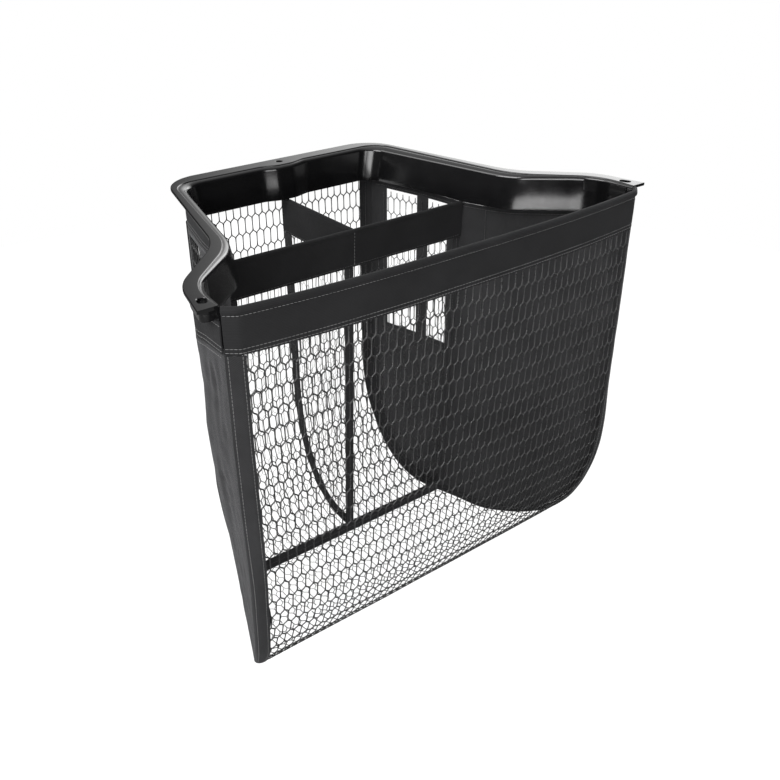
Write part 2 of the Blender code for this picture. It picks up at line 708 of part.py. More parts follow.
GLOSS = material("rim_gloss_black", (0.008, 0.008, 0.009), 0.12)
WEBBING = material("webbing_charcoal", (0.016, 0.016, 0.017), 0.85)
GUSSET_CLOTH = material("gusset_cloth", (0.030, 0.030, 0.032), 0.9)
BINDING = material("binding_tape", (0.022, 0.022, 0.024), 0.85)
NET = material("net_cord", (0.012, 0.012, 0.013), 0.8)
ROD = material("rod_plastic", (0.02, 0.02, 0.02), 0.5)

build_rim(GLOSS)
build_front_band(WEBBING, ROD)
build_bands(WEBBING)
build_nets(NET)
build_bindings(BINDING)
build_gussets(GUSSET_CLOTH, NET)
build_long_divider(WEBBING, NET, BINDING)
build_short_divider(WEBBING, NET, BINDING)
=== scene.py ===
"""Looks of the hanging net basket: thread nets, sewn cloth, tape, stitches and a
moulded rim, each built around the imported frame.

Lengths are millimetres in the functions (y counted from the plane of the back
net) and metres in the meshes. Nothing here moves or resizes the frame.
"""
import json
import math

import bmesh
import bpy
import numpy as np
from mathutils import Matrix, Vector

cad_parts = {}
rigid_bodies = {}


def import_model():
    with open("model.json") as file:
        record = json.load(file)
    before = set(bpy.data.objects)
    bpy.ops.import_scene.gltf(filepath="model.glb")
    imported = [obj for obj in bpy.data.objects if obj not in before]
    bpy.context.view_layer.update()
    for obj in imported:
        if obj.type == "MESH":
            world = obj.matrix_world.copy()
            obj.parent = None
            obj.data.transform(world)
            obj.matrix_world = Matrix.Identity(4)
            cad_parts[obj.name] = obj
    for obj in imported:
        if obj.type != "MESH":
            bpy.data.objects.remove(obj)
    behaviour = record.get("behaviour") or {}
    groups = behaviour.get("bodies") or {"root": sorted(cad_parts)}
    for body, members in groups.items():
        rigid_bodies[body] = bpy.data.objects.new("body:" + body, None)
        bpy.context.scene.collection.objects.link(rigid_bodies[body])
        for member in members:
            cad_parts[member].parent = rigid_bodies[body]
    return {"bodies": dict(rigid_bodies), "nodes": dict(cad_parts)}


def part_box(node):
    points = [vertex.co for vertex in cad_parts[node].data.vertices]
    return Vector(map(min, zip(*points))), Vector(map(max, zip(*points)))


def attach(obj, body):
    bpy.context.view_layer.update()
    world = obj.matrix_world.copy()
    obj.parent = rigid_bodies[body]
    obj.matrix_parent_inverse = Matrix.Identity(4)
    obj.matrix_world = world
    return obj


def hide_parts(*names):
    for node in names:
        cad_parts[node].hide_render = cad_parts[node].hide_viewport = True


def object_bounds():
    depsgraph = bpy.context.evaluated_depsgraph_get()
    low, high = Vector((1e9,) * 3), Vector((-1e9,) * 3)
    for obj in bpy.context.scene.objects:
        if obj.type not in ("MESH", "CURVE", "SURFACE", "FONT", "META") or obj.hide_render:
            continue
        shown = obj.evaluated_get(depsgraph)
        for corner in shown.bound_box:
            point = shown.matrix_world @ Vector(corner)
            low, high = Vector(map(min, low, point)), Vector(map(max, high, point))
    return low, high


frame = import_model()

CAD_BOX = [list(map(float, c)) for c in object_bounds()]
BODY = list(frame["bodies"])[0]


def node_mm(name):
    lo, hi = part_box(name)
    return np.array(lo) * 1000.0, np.array(hi) * 1000.0


# ------------------------------------------------------------------ dimensions
Y0 = 130.0
RIM_LO, RIM_HI = node_mm("rim_frame")
BAND_LO, BAND_HI = node_mm("front_band")
FLANGE_T = float(RIM_HI[2])
SKIRT_T = 2.4
SKIRT_BOTTOM = float(RIM_LO[2])
BAND_BOTTOM = float(BAND_LO[2])
BAND_TOP = -10.2
BAND_T = 1.5
NET_T = 1.2
GUSSET_T = 1.2
BINDING_T = 1.6
BINDING_W = 13.0
GAP = 0.4
HALF_FRONT = 232.5
HALF_BACK = 119.0
FRONT_Y = -285.0
FRONT_CORNER = 6.0
FRONT_BULGE = 11.0
BOTTOM_Z = -420.0
BOTTOM_CORNER = 4.0
BACK_Y = 1.0
BACK_CORNER = 8.2
CURVE_Z = -247.0
FRONT_ARC_Y = -195.0
BACK_ARC_Y = -100.0
FRONT_ARC_N = 2.25
BACK_ARC_N = 2.4
OUTER = ([(0, 21.5), (129.5, 21.5), (175, -167), (238.3, -229.5), (250.2, -281)], (42, 85, 62))
INNER = ([(0, 5.2), (127.4, 5.2), (167.7, -177.5), (232, -239), (232.6, -281)], (27, 85, 60))
SKIRT = ([(0, -1.2), (111, -1.2), (155, -176), (225.5, -237), (229, -281)], (21, 75, 55))
BAG_LOW = ([(0, 9.2), (121.5, 9.2), (161, -176), (206, -226), (HALF_FRONT - 4.0, FRONT_Y)], (31, 75, 70))
FINE = 4
CORNER_STEPS = 9 * FINE
BACK_RUN = 32
RUN_STEPS = (BACK_RUN, 6 * FINE, 3 * FINE, 8 * FINE)
SCREW_BACK = (0.0, 10.6)
SCREW_FRONT = (238.2, -266.0)
SCREW_D = 7.2
SLOT_L = 11.5
SLOT_TURN = 20.0
BAG_OUTSET = 10.4
BAG_FRONT_OUTSET = 3.4
BAG_FRONT_FADE = (-240.0, 30.0)
WAIST = (5.0, -124.0, 30.0)
WINDOWS = ((-17.0, -60.0), (-75.0, -104.0))
WINDOW_TOP = -44.0
WINDOW_BOTTOM = -216.0
LONG_TOP_Y = -125.0
LONG_LOW_Y = -112.0
DIVIDER_TOP = -34.9
DIVIDER_BAND = 41.0
DIVIDER_BAND_T = 2.6
JOINT_W = 11.0
SIDE_BINDING_W = 10.0
BOTTOM_BINDING_W = 15.0
CURVED_BINDING_W = 14.0

# net: elongated hexagons
CELL = 8.73             # from one upright to the next
ROW = 18.2              # from one row of cells to the next
UPRIGHT = 13.1          # length of an upright, the rest is the slanted part
BULGE_BACK = (6.0, 8.0, 28.0)   # the inner edge steps forward at the back screw: depth, half width, where it ends


# -------------------------------------------------------------------- outlines
def rounded(corners, radii, steps=CORNER_STEPS, runs=RUN_STEPS):
    pts = [np.array(p, float) for p in corners]
    joints = [(pts[0], pts[0])]
    arcs = []
    for i, r in enumerate(radii, 1):
        a, b, c = pts[i - 1], pts[i], pts[i + 1]
        u = (a - b) / np.linalg.norm(a - b)
        v = (c - b) / np.linalg.norm(c - b)
        half = math.acos(float(np.clip(u @ v, -1, 1))) / 2
        t = r / math.tan(half)
        p0, p1 = b + u * t, b + v * t
        centre = b + (u + v) / np.linalg.norm(u + v) * r / math.sin(half)
        a0 = math.atan2(*(p0 - centre)[::-1])
        a1 = math.atan2(*(p1 - centre)[::-1])
        d = (a1 - a0 + math.pi) % (2 * math.pi) - math.pi
        arcs.append([centre + r * np.array([math.cos(a0 + d * k / steps), math.sin(a0 + d * k / steps)])
                     for k in range(steps + 1)])
        joints.append((p0, p1))
    joints.append((pts[-1], pts[-1]))
    out = []
    for i in range(len(joints) - 1):
        a, b = joints[i][1], joints[i + 1][0]
        n = runs[i]
        out += [a + (b - a) * k / n for k in range(n)]
        if i < len(arcs):
            out += arcs[i][:-1]
    out.append(joints[-1][0])
    return np.array(out)


def bag_outset(rail, waist=0.0):
    y = rail[:, 1]
    fade = np.where(y > BAG_FRONT_FADE[0], 1.0, np.exp(-((y - BAG_FRONT_FADE[0]) / BAG_FRONT_FADE[1]) ** 2))
    d = BAG_FRONT_OUTSET + (BAG_OUTSET - BAG_FRONT_OUTSET) * fade
    return d - waist * WAIST[0] * np.exp(-((y - WAIST[1]) / WAIST[2]) ** 2)


def outset(rail, d):
    seg = np.linalg.norm(np.diff(rail, axis=0), axis=1)
    s = np.concatenate([[0.0], np.cumsum(seg)])
    t = np.gradient(rail, s, axis=0)
    t[0] = (1, 0)
    t /= np.linalg.norm(t, axis=1)[:, None]
    n = np.stack([-t[:, 1], t[:, 0]], axis=1)
    moved = rail + n * np.reshape(d, (-1, 1))
    moved[0, 0] = 0.0
    moved[-1, 1] = rail[-1, 1]
    return moved


def smooth_step(k):
    k = np.clip(k, 0.0, 1.0)
    return k * k * (3 - 2 * k)


def bump_back(rail, depth=1.0):
    """The inner edge and skirt step forward a little round the back screw."""
    r = rail.copy()
    t = np.clip((np.abs(r[:, 0]) - BULGE_BACK[1]) / (BULGE_BACK[2] - BULGE_BACK[1]), 0.0, 1.0)
    k = 1.0 - (0.7 * t + 0.3 * smooth_step(t))
    r[:, 1] -= BULGE_BACK[0] * depth * k * (r[:, 1] > -40.0)
    return r


OUTER_RAIL = rounded(*OUTER)
INNER_RAIL = rounded(*INNER)
SKIRT_RAIL = rounded(*SKIRT)
SHOULDER_RAIL = SKIRT_RAIL + 0.37 * (INNER_RAIL - SKIRT_RAIL)
BAG_TOP_RAIL = outset(SKIRT_RAIL, bag_outset(SKIRT_RAIL, 1.0))
BAG_TOP_RAIL[-1] = (HALF_FRONT, FRONT_Y)
BAG_LOW_RAIL = rounded(*BAG_LOW)
LAST = len(SKIRT_RAIL) - 1


def skirt_rail(z):
    k = min(max((z - SKIRT_BOTTOM) / (-4.0 - SKIRT_BOTTOM), 0.0), 1.0)
    return SKIRT_RAIL + (SHOULDER_RAIL - SKIRT_RAIL) * k


def bag_rail(z):
    k = min(max((-z - 120.0) / 300.0, 0.0), 1.0)
    return BAG_TOP_RAIL + (BAG_LOW_RAIL - BAG_TOP_RAIL) * k


def on_rail(rail, u):
    f = u * (len(rail) - 1)
    i = min(int(f), len(rail) - 2)
    return rail[i] + (rail[i + 1] - rail[i]) * (f - i)


def side_point(u, z):
    return on_rail(bag_rail(z), u)


def side_u(y, z=-40.0):
    lo, hi = 0.12, 1.0
    for _ in range(40):
        mid = (lo + hi) / 2
        if side_point(mid, z)[1] > y:
            lo = mid
        else:
            hi = mid
    return (lo + hi) / 2


def side_x(y, z):
    rail = bag_rail(z)
    r = rail[rail[:, 1] < -8.0]
    x = float(np.interp(-y, -r[:, 1], r[:, 0]))
    if y > -14.0:
        x0 = float(np.interp(14.0, -r[:, 1], r[:, 0]))
        x = x0 + (HALF_BACK - x0) * (y + 14.0) / (14.0 + BACK_Y)
    return x


# -------------------------------------------------------------- bag profile
def profile_points():
    pts = [(FRONT_Y, BAND_BOTTOM - GAP + (CURVE_Z - BAND_BOTTOM + GAP) * k / 24) for k in range(24)]
    for k in range(49):
        a = math.radians(90.0 * k / 48)
        e = 2.0 / FRONT_ARC_N
        pts.append((FRONT_ARC_Y + (FRONT_Y - FRONT_ARC_Y) * max(math.cos(a), 0.0) ** e,
                    CURVE_Z + (BOTTOM_Z - CURVE_Z) * math.sin(a) ** e))
    for k in range(1, 12):
        pts.append((FRONT_ARC_Y + (BACK_ARC_Y - FRONT_ARC_Y) * k / 12, BOTTOM_Z))
    for k in range(49):
        a = math.radians(90.0 * (48 - k) / 48)
        e = 2.0 / BACK_ARC_N
        pts.append((BACK_ARC_Y + (BACK_Y - BACK_ARC_Y) * max(math.cos(a), 0.0) ** e,
                    CURVE_Z + (BOTTOM_Z - CURVE_Z) * math.sin(a) ** e))
    pts += [(BACK_Y, CURVE_Z + (BAND_BOTTOM - GAP - CURVE_Z) * k / 24) for k in range(1, 25)]
    return np.array(pts)


PROFILE = profile_points()
PROFILE_S = np.concatenate([[0.0], np.cumsum(np.linalg.norm(np.diff(PROFILE, axis=0), axis=1))])
PROFILE_LENGTH = float(PROFILE_S[-1])
_half = PROFILE_S <= PROFILE_LENGTH / 2
FRONT_END = float(np.interp(FRONT_ARC_Y, PROFILE[_half][:, 0], PROFILE_S[_half]))
BACK_START = float(np.interp(BACK_ARC_Y, PROFILE[~_half][:, 0], PROFILE_S[~_half]))


def profile_s(y):
    return float(np.interp(y, PROFILE[~_half][:, 0], PROFILE_S[~_half]))


def bottom_z(y, inset=0.0):
    low = BOTTOM_Z + inset
    if y <= FRONT_ARC_Y:
        k = min((FRONT_ARC_Y - y) / (FRONT_ARC_Y - FRONT_Y - inset), 1.0)
        n = FRONT_ARC_N
    elif y >= BACK_ARC_Y:
        k = min((y - BACK_ARC_Y) / (BACK_Y - inset - BACK_ARC_Y), 1.0)
        n = BACK_ARC_N
    else:
        return low
    return CURVE_Z + (low - CURVE_Z) * (1.0 - k ** n) ** (1.0 / n)


# the wrap's tables along its length, running a little past both hems
S_TABLE = np.linspace(-8.0, PROFILE_LENGTH + 8.0, 1400)


def _profile_at(s):
    y = np.interp(s, PROFILE_S, PROFILE[:, 0])
    z = np.interp(s, PROFILE_S, PROFILE[:, 1])
    z = np.where(s < 0, BAND_BOTTOM - GAP - s, z)
    z = np.where(s > PROFILE_LENGTH, BAND_BOTTOM - GAP + (s - PROFILE_LENGTH), z)
    return y, z


_ya, _za = _profile_at(S_TABLE - 6.0)
_yb, _zb = _profile_at(S_TABLE + 6.0)
_len = np.hypot(_yb - _ya, _zb - _za)
T_NY, T_NZ = (_zb - _za) / _len, -(_yb - _ya) / _len
T_Y, T_Z = _profile_at(S_TABLE)
T_W = np.array([side_x(y, max(min(z, -37.4), -420.0)) for y, z in zip(T_Y, T_Z)])
T_CORNER = np.where(S_TABLE < FRONT_END,
                    FRONT_CORNER + (BOTTOM_CORNER - FRONT_CORNER) * smooth_step(S_TABLE / FRONT_END),
                    BOTTOM_CORNER + (BACK_CORNER - BOTTOM_CORNER) * smooth_step((S_TABLE - BACK_START) / 200.0))
T_FACET = 1.0 - smooth_step((S_TABLE - 150.0) / 110.0)     # the corner is a flat facet down the front
T_CROWN = (FRONT_BULGE * (1.0 - 0.55 * smooth_step(S_TABLE / 260.0))
           * (1.0 - smooth_step((S_TABLE - 190.0) / (FRONT_END - 190.0))))


def half_width(s):
    return np.interp(s, S_TABLE, T_W)


def wrap(x, s, lift=0.0):
    """Points and outward normals of the net wrap at x and arc length s."""
    x, s = np.broadcast_arrays(np.asarray(x, float), np.asarray(s, float))
    y, z = np.interp(s, S_TABLE, T_Y), np.interp(s, S_TABLE, T_Z)
    ny, nz = np.interp(s, S_TABLE, T_NY), np.interp(s, S_TABLE, T_NZ)
    w = np.interp(s, S_TABLE, T_W)
    a = np.abs(x)
    edge = np.clip((a - (w - 8.0)) / 8.0, 0.0, 1.0)
    rise = np.interp(s, S_TABLE, T_CORNER) * np.sqrt(np.maximum(1.0 - edge * edge, 0.0))
    slope = np.clip((a - (w - 9.8)) / 9.8, 0.0, 1.0)
    facet = FRONT_CORNER - 7.6 * (np.sqrt(slope * slope + 0.004) - 0.063) / 0.939
    rise = rise + (facet - rise) * np.interp(s, S_TABLE, T_FACET)
    rise = rise + np.interp(s, S_TABLE, T_CROWN) * np.maximum(1.0 - (a / (w - 8.0)) ** 2.6, 0.0) + lift
    return (np.stack([x, y + ny * rise, z + nz * rise], axis=-1),
            np.stack([np.zeros_like(ny), ny, nz], axis=-1))


def grid_normals(g):
    du, dv = np.gradient(g, axis=0), np.gradient(g, axis=1)
    n = np.cross(du, dv)
    return n / np.maximum(np.linalg.norm(n, axis=2), 1e-9)[:, :, None]


def waves(a, b, seed, size):
    """Smooth seeded ripple, about -1 to 1, over coordinates a and b in mm."""
    rng = np.random.RandomState(seed)
    out = np.zeros(np.broadcast(a, b).shape)
    for k in range(6):
        turn = rng.uniform(0, 2 * math.pi)
        length = size * rng.uniform(0.7, 1.6)
        out = out + np.sin(2 * math.pi * (a * math.cos(turn) + b * math.sin(turn)) / length + rng.uniform(0, 6.28))
    return out / 6.0 * 1.6


# --------------------------------------------------------------------- meshes
PIECES = []


def to_world(p):
    q = np.array(p, float).reshape(-1, 3).copy()
    q[:, 1] += Y0
    return q * 0.001


def new_object(name, verts, quads, mat, lay=None, ngons=()):
    """Mesh object from arrays of points (mm) and quads, plus a few larger faces."""
    me = bpy.data.meshes.new(name)
    v = to_world(verts)
    quads = np.asarray(quads, np.int32).reshape(-1, 4)
    loops = quads.ravel()
    counts = np.full(len(quads), 4, np.int32)
    if len(ngons):
        loops = np.concatenate([loops] + [np.asarray(f, np.int32) for f in ngons])
        counts = np.concatenate([counts, [len(f) for f in ngons]])
    starts = np.concatenate([[0], np.cumsum(counts)[:-1]]).astype(np.int32)
    me.vertices.add(len(v))
    me.vertices.foreach_set("co", v.astype(np.float32).ravel())
    me.loops.add(len(loops))
    me.loops.foreach_set("vertex_index", loops.astype(np.int32))
    me.polygons.add(len(counts))
    me.polygons.foreach_set("loop_start", starts)
    me.update(calc_edges=True)
    if lay is not None:
        at = me.attributes.new("lay", "FLOAT_VECTOR", "POINT")
        at.data.foreach_set("vector", np.asarray(lay, np.float32).ravel())
    me.validate()
    ob = bpy.data.objects.new(name, me)
    bpy.context.scene.collection.objects.link(ob)
    me.materials.append(mat)
    me.shade_smooth()
    PIECES.append(ob)
    return ob


def fix_normals(ob):
    bm = bmesh.new()
    bm.from_mesh(ob.data)
    bmesh.ops.recalc_face_normals(bm, faces=bm.faces)
    bm.to_mesh(ob.data)
    bm.free()


def bake_modifiers(ob):
    """Replace the mesh by what its modifiers make of it."""
    dg = bpy.context.evaluated_depsgraph_get()
    me = bpy.data.meshes.new_from_object(ob.evaluated_get(dg))
    ob.modifiers.clear()
    old = ob.data
    ob.data = me
    bpy.data.meshes.remove(old)


def cloth(name, grid, thickness, mat, mask=None, mirror=False, bevel=0.38):
    """Sewn sheet: a grid of its middle surface given thickness and soft edges."""
    g = np.array(grid, float)
    if mirror:
        g = g[::-1].copy()
        g[:, :, 0] *= -1
        if mask is not None:
            mask = np.asarray(mask)[::-1]
    n, m = g.shape[:2]
    lu = np.concatenate([[0], np.cumsum(np.linalg.norm(np.diff(g, axis=0), axis=2).mean(axis=1))])
    lv = np.concatenate([[0], np.cumsum(np.linalg.norm(np.diff(g, axis=1), axis=2).mean(axis=0))])
    lay = np.zeros((n, m, 3))
    lay[:, :, 0] = lu[:, None]
    lay[:, :, 1] = lv[None, :]
    i, j = np.meshgrid(np.arange(n - 1), np.arange(m - 1), indexing="ij")
    if mask is not None:
        i, j = i[mask], j[mask]
    i, j = i.ravel(), j.ravel()
    quads = np.stack([i * m + j, (i + 1) * m + j, (i + 1) * m + j + 1, i * m + j + 1], axis=1)
    used = np.unique(quads)
    index = np.full(n * m, -1)
    index[used] = np.arange(len(used))
    ob = new_object(name, g.reshape(-1, 3)[used], index[quads], mat, lay.reshape(-1, 3)[used])
    s = ob.modifiers.new("thickness", "SOLIDIFY")
    s.thickness = thickness * 0.001
    s.offset = 0.0
    s.use_even_offset = True
    b = ob.modifiers.new("edge", "BEVEL")
    b.width = thickness * bevel * 0.001
    b.segments = 2
    b.limit_method = "ANGLE"
    b.angle_limit = math.radians(52)
    bake_modifiers(ob)
    ob.data.shade_smooth()
    ob.data.set_sharp_from_angle(angle=math.radians(62))
    return ob


def tubes(name, lines, mat, sides=6, flat=0.85):
    """Threads: closed tubes along lines of (points, normals, radii)."""
    verts, quads, lay, base = [], [], [], 0
    ang = 2 * math.pi * (np.arange(sides) + 0.5) / sides
    ca, sa = np.cos(ang), np.sin(ang)
    for p, nrm, r in lines:
        k = len(p)
        t = np.gradient(p, axis=0)
        t /= np.maximum(np.linalg.norm(t, axis=1), 1e-9)[:, None]
        n = nrm - (nrm * t).sum(axis=1)[:, None] * t
        n /= np.maximum(np.linalg.norm(n, axis=1), 1e-9)[:, None]
        b = np.cross(t, n)
        ring = p[:, None, :] + r[:, None, None] * (ca[None, :, None] * b[:, None, :]
                                                   + flat * sa[None, :, None] * n[:, None, :])
        verts.append(ring.reshape(-1, 3))
        length = np.concatenate([[0], np.cumsum(np.linalg.norm(np.diff(p, axis=0), axis=1))])
        l = np.zeros((k, sides, 3))
        l[:, :, 0] = length[:, None]
        l[:, :, 1] = np.arange(sides)[None, :] / sides
        lay.append(l.reshape(-1, 3))
        a, c = np.meshgrid(np.arange(k - 1), np.arange(sides), indexing="ij")
        d = (c + 1) % sides
        quads.append((np.stack([a * sides + c, (a + 1) * sides + c, (a + 1) * sides + d, a * sides + d], axis=2)
                      .reshape(-1, 4) + base))
        e = base + (k - 1) * sides
        quads.append(np.array([[base, base + 1, base + 2, base + 3], [base, base + 3, base + 4, base + 5],
                               [e + 3, e + 2, e + 1, e], [e + 5, e + 4, e + 3, e]]))
        base += k * sides
    return new_object(name, np.concatenate(verts), np.concatenate(quads), mat, np.concatenate(lay))


def net_lines(place, u0, u1, v0, v1, inside, seed, phase_u=0.0, phase_v=0.0, wander=1.0, gauge=1.0):
    """Threads of a hexagonal net. Pairs of threads run together up each upright and
    part at its ends. place(u, v) gives points and normals, inside(u, v) where the net is."""
    rows = np.arange(int(math.floor((v0 - phase_v) / ROW)) - 1, int(math.ceil((v1 - phase_v) / ROW)) + 2)
    first = int(math.floor((u0 - phase_u) / CELL)) - 1
    last = int(math.ceil((u1 - phase_u) / CELL)) + 1
    rng = np.random.RandomState(seed)
    span = last - first + 3
    jitter = 0.6 * rng.uniform(-1, 1, (len(rows), span * 2 + 4, 4))
    part = np.array([0.0, 0.33, 0.67, 1.0])
    slant = np.array([0.22, 0.5, 0.78])
    lines = []
    for i in range(first, last + 1):
        for hand in (1, -1):
            us, vs, rs = [], [], []
            for k, row in enumerate(rows):
                odd = row % 2
                col = (i - first) * 2 + (1 if hand > 0 else -1) * odd + 2
                u_here = phase_u + i * CELL + hand * odd * CELL / 2
                u_next = phase_u + i * CELL + hand * (1 - odd) * CELL / 2
                side = hand if not odd else -hand
                a = jitter[k, col]
                nxt = jitter[min(k + 1, len(rows) - 1), (i - first) * 2 + hand * (1 - odd) + 2]
                v_here = phase_v + row * ROW
                lean = a[0] * 0.16 + (a[1] - a[0]) * 0.16 * part
                us += list(u_here + side * np.array([0.22, 0.17, 0.17, 0.22]) + lean)
                vs += list(v_here + UPRIGHT * part + a[2] * 0.22)
                rs += [0.34, 0.27, 0.27, 0.34]
                f = smooth_step(slant) * 0.35 + slant * 0.65
                top = us[-1]
                us += list(top + (u_next - side * 0.22 + nxt[0] * 0.16 - top) * f)
                v_a, v_b = v_here + UPRIGHT + a[2] * 0.22, v_here + ROW + nxt[2] * 0.22
                vs += list(v_a + (v_b - v_a) * np.array([0.34, 0.5, 0.66]))
                rs += [0.45, 0.46, 0.45]
            u, v = np.array(us), np.array(vs)
            r = np.array(rs) * (gauge(v) if callable(gauge) else gauge)
            u = u + wander * 0.45 * waves(u, v, seed + 1, 80.0)
            v = v + wander * 0.75 * waves(u, v, seed + 2, 90.0)
            ok = inside(u, v)
            edges = np.flatnonzero(np.diff(np.concatenate([[0], ok.astype(int), [0]])))
            for a, b in zip(edges[::2], edges[1::2]):
                if b - a < 4:
                    continue
                p, n = place(u[a:b], v[a:b])
                lines.append((p, n, r[a:b]))
    return lines


STITCHES = []           # outer seams, light thread
DARK_STITCHES = []      # inner seams, dark thread


def sew(path, normals, rise=0.0, both=None, into=None):
    """Queue a row of stitches along a path; with both, also on a far side that deep."""
    path, normals = np.asarray(path, float), np.asarray(normals, float)
    normals = normals / np.linalg.norm(normals, axis=1)[:, None]
    rows = STITCHES if into is None else into
    rows.append((path + normals * rise, normals))
    if both:
        (DARK_STITCHES if into is None else into).append((path - normals * (both + rise), -normals))


def build_stitches(name, mat, rows, length=2.85, pitch=3.35, width=0.25, height=0.22):
    t = np.array([-1.0, -0.9, -0.55, 0.0, 0.55, 0.9, 1.0])
    r = np.array([0.25, 0.75, 1.0, 1.0, 1.0, 0.75, 0.25])
    drop = np.array([-0.30, -0.12, 0.02, 0.06, 0.02, -0.12, -0.30])
    sides = 6
    ang = 2 * math.pi * (np.arange(sides) + 0.5) / sides
    verts, quads, lay, base = [], [], [], 0
    for path, normals in rows:
        s = np.concatenate([[0], np.cumsum(np.linalg.norm(np.diff(path, axis=0), axis=1))])
        count = max(int((s[-1] - 1.0) / pitch), 1)
        mid = (np.arange(count) + 0.5) * (s[-1] / count)
        stations = mid[:, None] + t[None, :] * length / 2
        flat_s = np.clip(stations.ravel(), 0, s[-1])
        p = np.stack([np.interp(flat_s, s, path[:, k]) for k in range(3)], axis=1).reshape(count, len(t), 3)
        n = np.stack([np.interp(flat_s, s, normals[:, k]) for k in range(3)], axis=1).reshape(count, len(t), 3)
        n /= np.linalg.norm(n, axis=2)[:, :, None]
        d = p[:, -1] - p[:, 0]
        d /= np.maximum(np.linalg.norm(d, axis=1), 1e-9)[:, None]
        b = np.cross(d[:, None, :], n)
        b /= np.maximum(np.linalg.norm(b, axis=2), 1e-9)[:, :, None]
        ring = (p + n * drop[None, :, None])[:, :, None, :] + r[None, :, None, None] * (
            width * np.cos(ang)[None, None, :, None] * b[:, :, None, :]
            + height * np.sin(ang)[None, None, :, None] * n[:, :, None, :])
        verts.append(ring.reshape(-1, 3))
        l = np.zeros((count, len(t), sides, 3))
        l[..., 0] = stations[:, :, None]
        l[..., 1] = np.arange(sides) / sides
        lay.append(l.reshape(-1, 3))
        k = len(t)
        a, c = np.meshgrid(np.arange(k - 1), np.arange(sides), indexing="ij")
        e = (c + 1) % sides
        one = np.stack([a * sides + c, (a + 1) * sides + c, (a + 1) * sides + e, a * sides + e], axis=2).reshape(-1, 4)
        z = (k - 1) * sides
        one = np.concatenate([one, [[0, 1, 2, 3], [0, 3, 4, 5], [z + 3, z + 2, z + 1, z], [z + 5, z + 4, z + 3, z]]])
        quads.append((one[None] + (np.arange(count) * k * sides)[:, None, None]).reshape(-1, 4) + base)
        base += count * k * sides
    ob = new_object(name, np.concatenate(verts), np.concatenate(quads), mat, np.concatenate(lay))
    fix_normals(ob)
    return ob


# ------------------------------------------------------------------- materials
def node(nt, kind, **settings):
    n = nt.nodes.new(kind)
    for k, v in settings.items():
        setattr(n, k, v)
    return n


def math_node(nt, op, a, b=None):
    n = node(nt, "ShaderNodeMath", operation=op)
    for i, v in enumerate((a, b)):
        if v is None:
            continue
        if isinstance(v, (int, float)):
            n.inputs[i].default_value = v
        else:
            nt.links.new(v, n.inputs[i])
    return n.outputs[0]


def noise_node(nt, vector, scale, detail=3.0, rough=0.55):
    n = node(nt, "ShaderNodeTexNoise")
    n.inputs["Scale"].default_value = scale
    n.inputs["Detail"].default_value = detail
    n.inputs["Roughness"].default_value = rough
    nt.links.new(vector, n.inputs["Vector"])
    return n.outputs["Fac"]


def ramp(nt, value, stops):
    n = node(nt, "ShaderNodeValToRGB")
    el = n.color_ramp.elements
    while len(el) < len(stops):
        el.new(0.5)
    for e, (pos, col) in zip(el, stops):
        e.position = pos
        e.color = (*col, 1.0)
    nt.links.new(value, n.inputs[0])
    return n.outputs[0]


def spread(nt, value, lo, hi, in_lo=0.3, in_hi=0.7):
    n = node(nt, "ShaderNodeMapRange")
    n.inputs["From Min"].default_value = in_lo
    n.inputs["From Max"].default_value = in_hi
    n.inputs["To Min"].default_value = lo
    n.inputs["To Max"].default_value = hi
    nt.links.new(value, n.inputs["Value"])
    return n.outputs[0]


def bump(nt, height, strength, distance, after=None):
    n = node(nt, "ShaderNodeBump")
    n.inputs["Strength"].default_value = strength
    n.inputs["Distance"].default_value = distance
    nt.links.new(height, n.inputs["Height"])
    if after is not None:
        nt.links.new(after, n.inputs["Normal"])
    return n.outputs[0]


def start(name):
    m = bpy.data.materials.new(name)
    m.use_nodes = True
    nt = m.node_tree
    shader = nt.nodes["Principled BSDF"]
    place = node(nt, "ShaderNodeTexCoord").outputs["Object"]
    lay = node(nt, "ShaderNodeAttribute", attribute_name="lay")
    sep = node(nt, "ShaderNodeSeparateXYZ")
    nt.links.new(lay.outputs["Vector"], sep.inputs[0])
    return m, nt, shader, place, sep.outputs[0], sep.outputs[1]


def sine(nt, value, period, shift=0.0):
    a = math_node(nt, "MULTIPLY", value, 2 * math.pi / period)
    if shift:
        a = math_node(nt, "ADD", a, shift)
    return math_node(nt, "SINE", a)


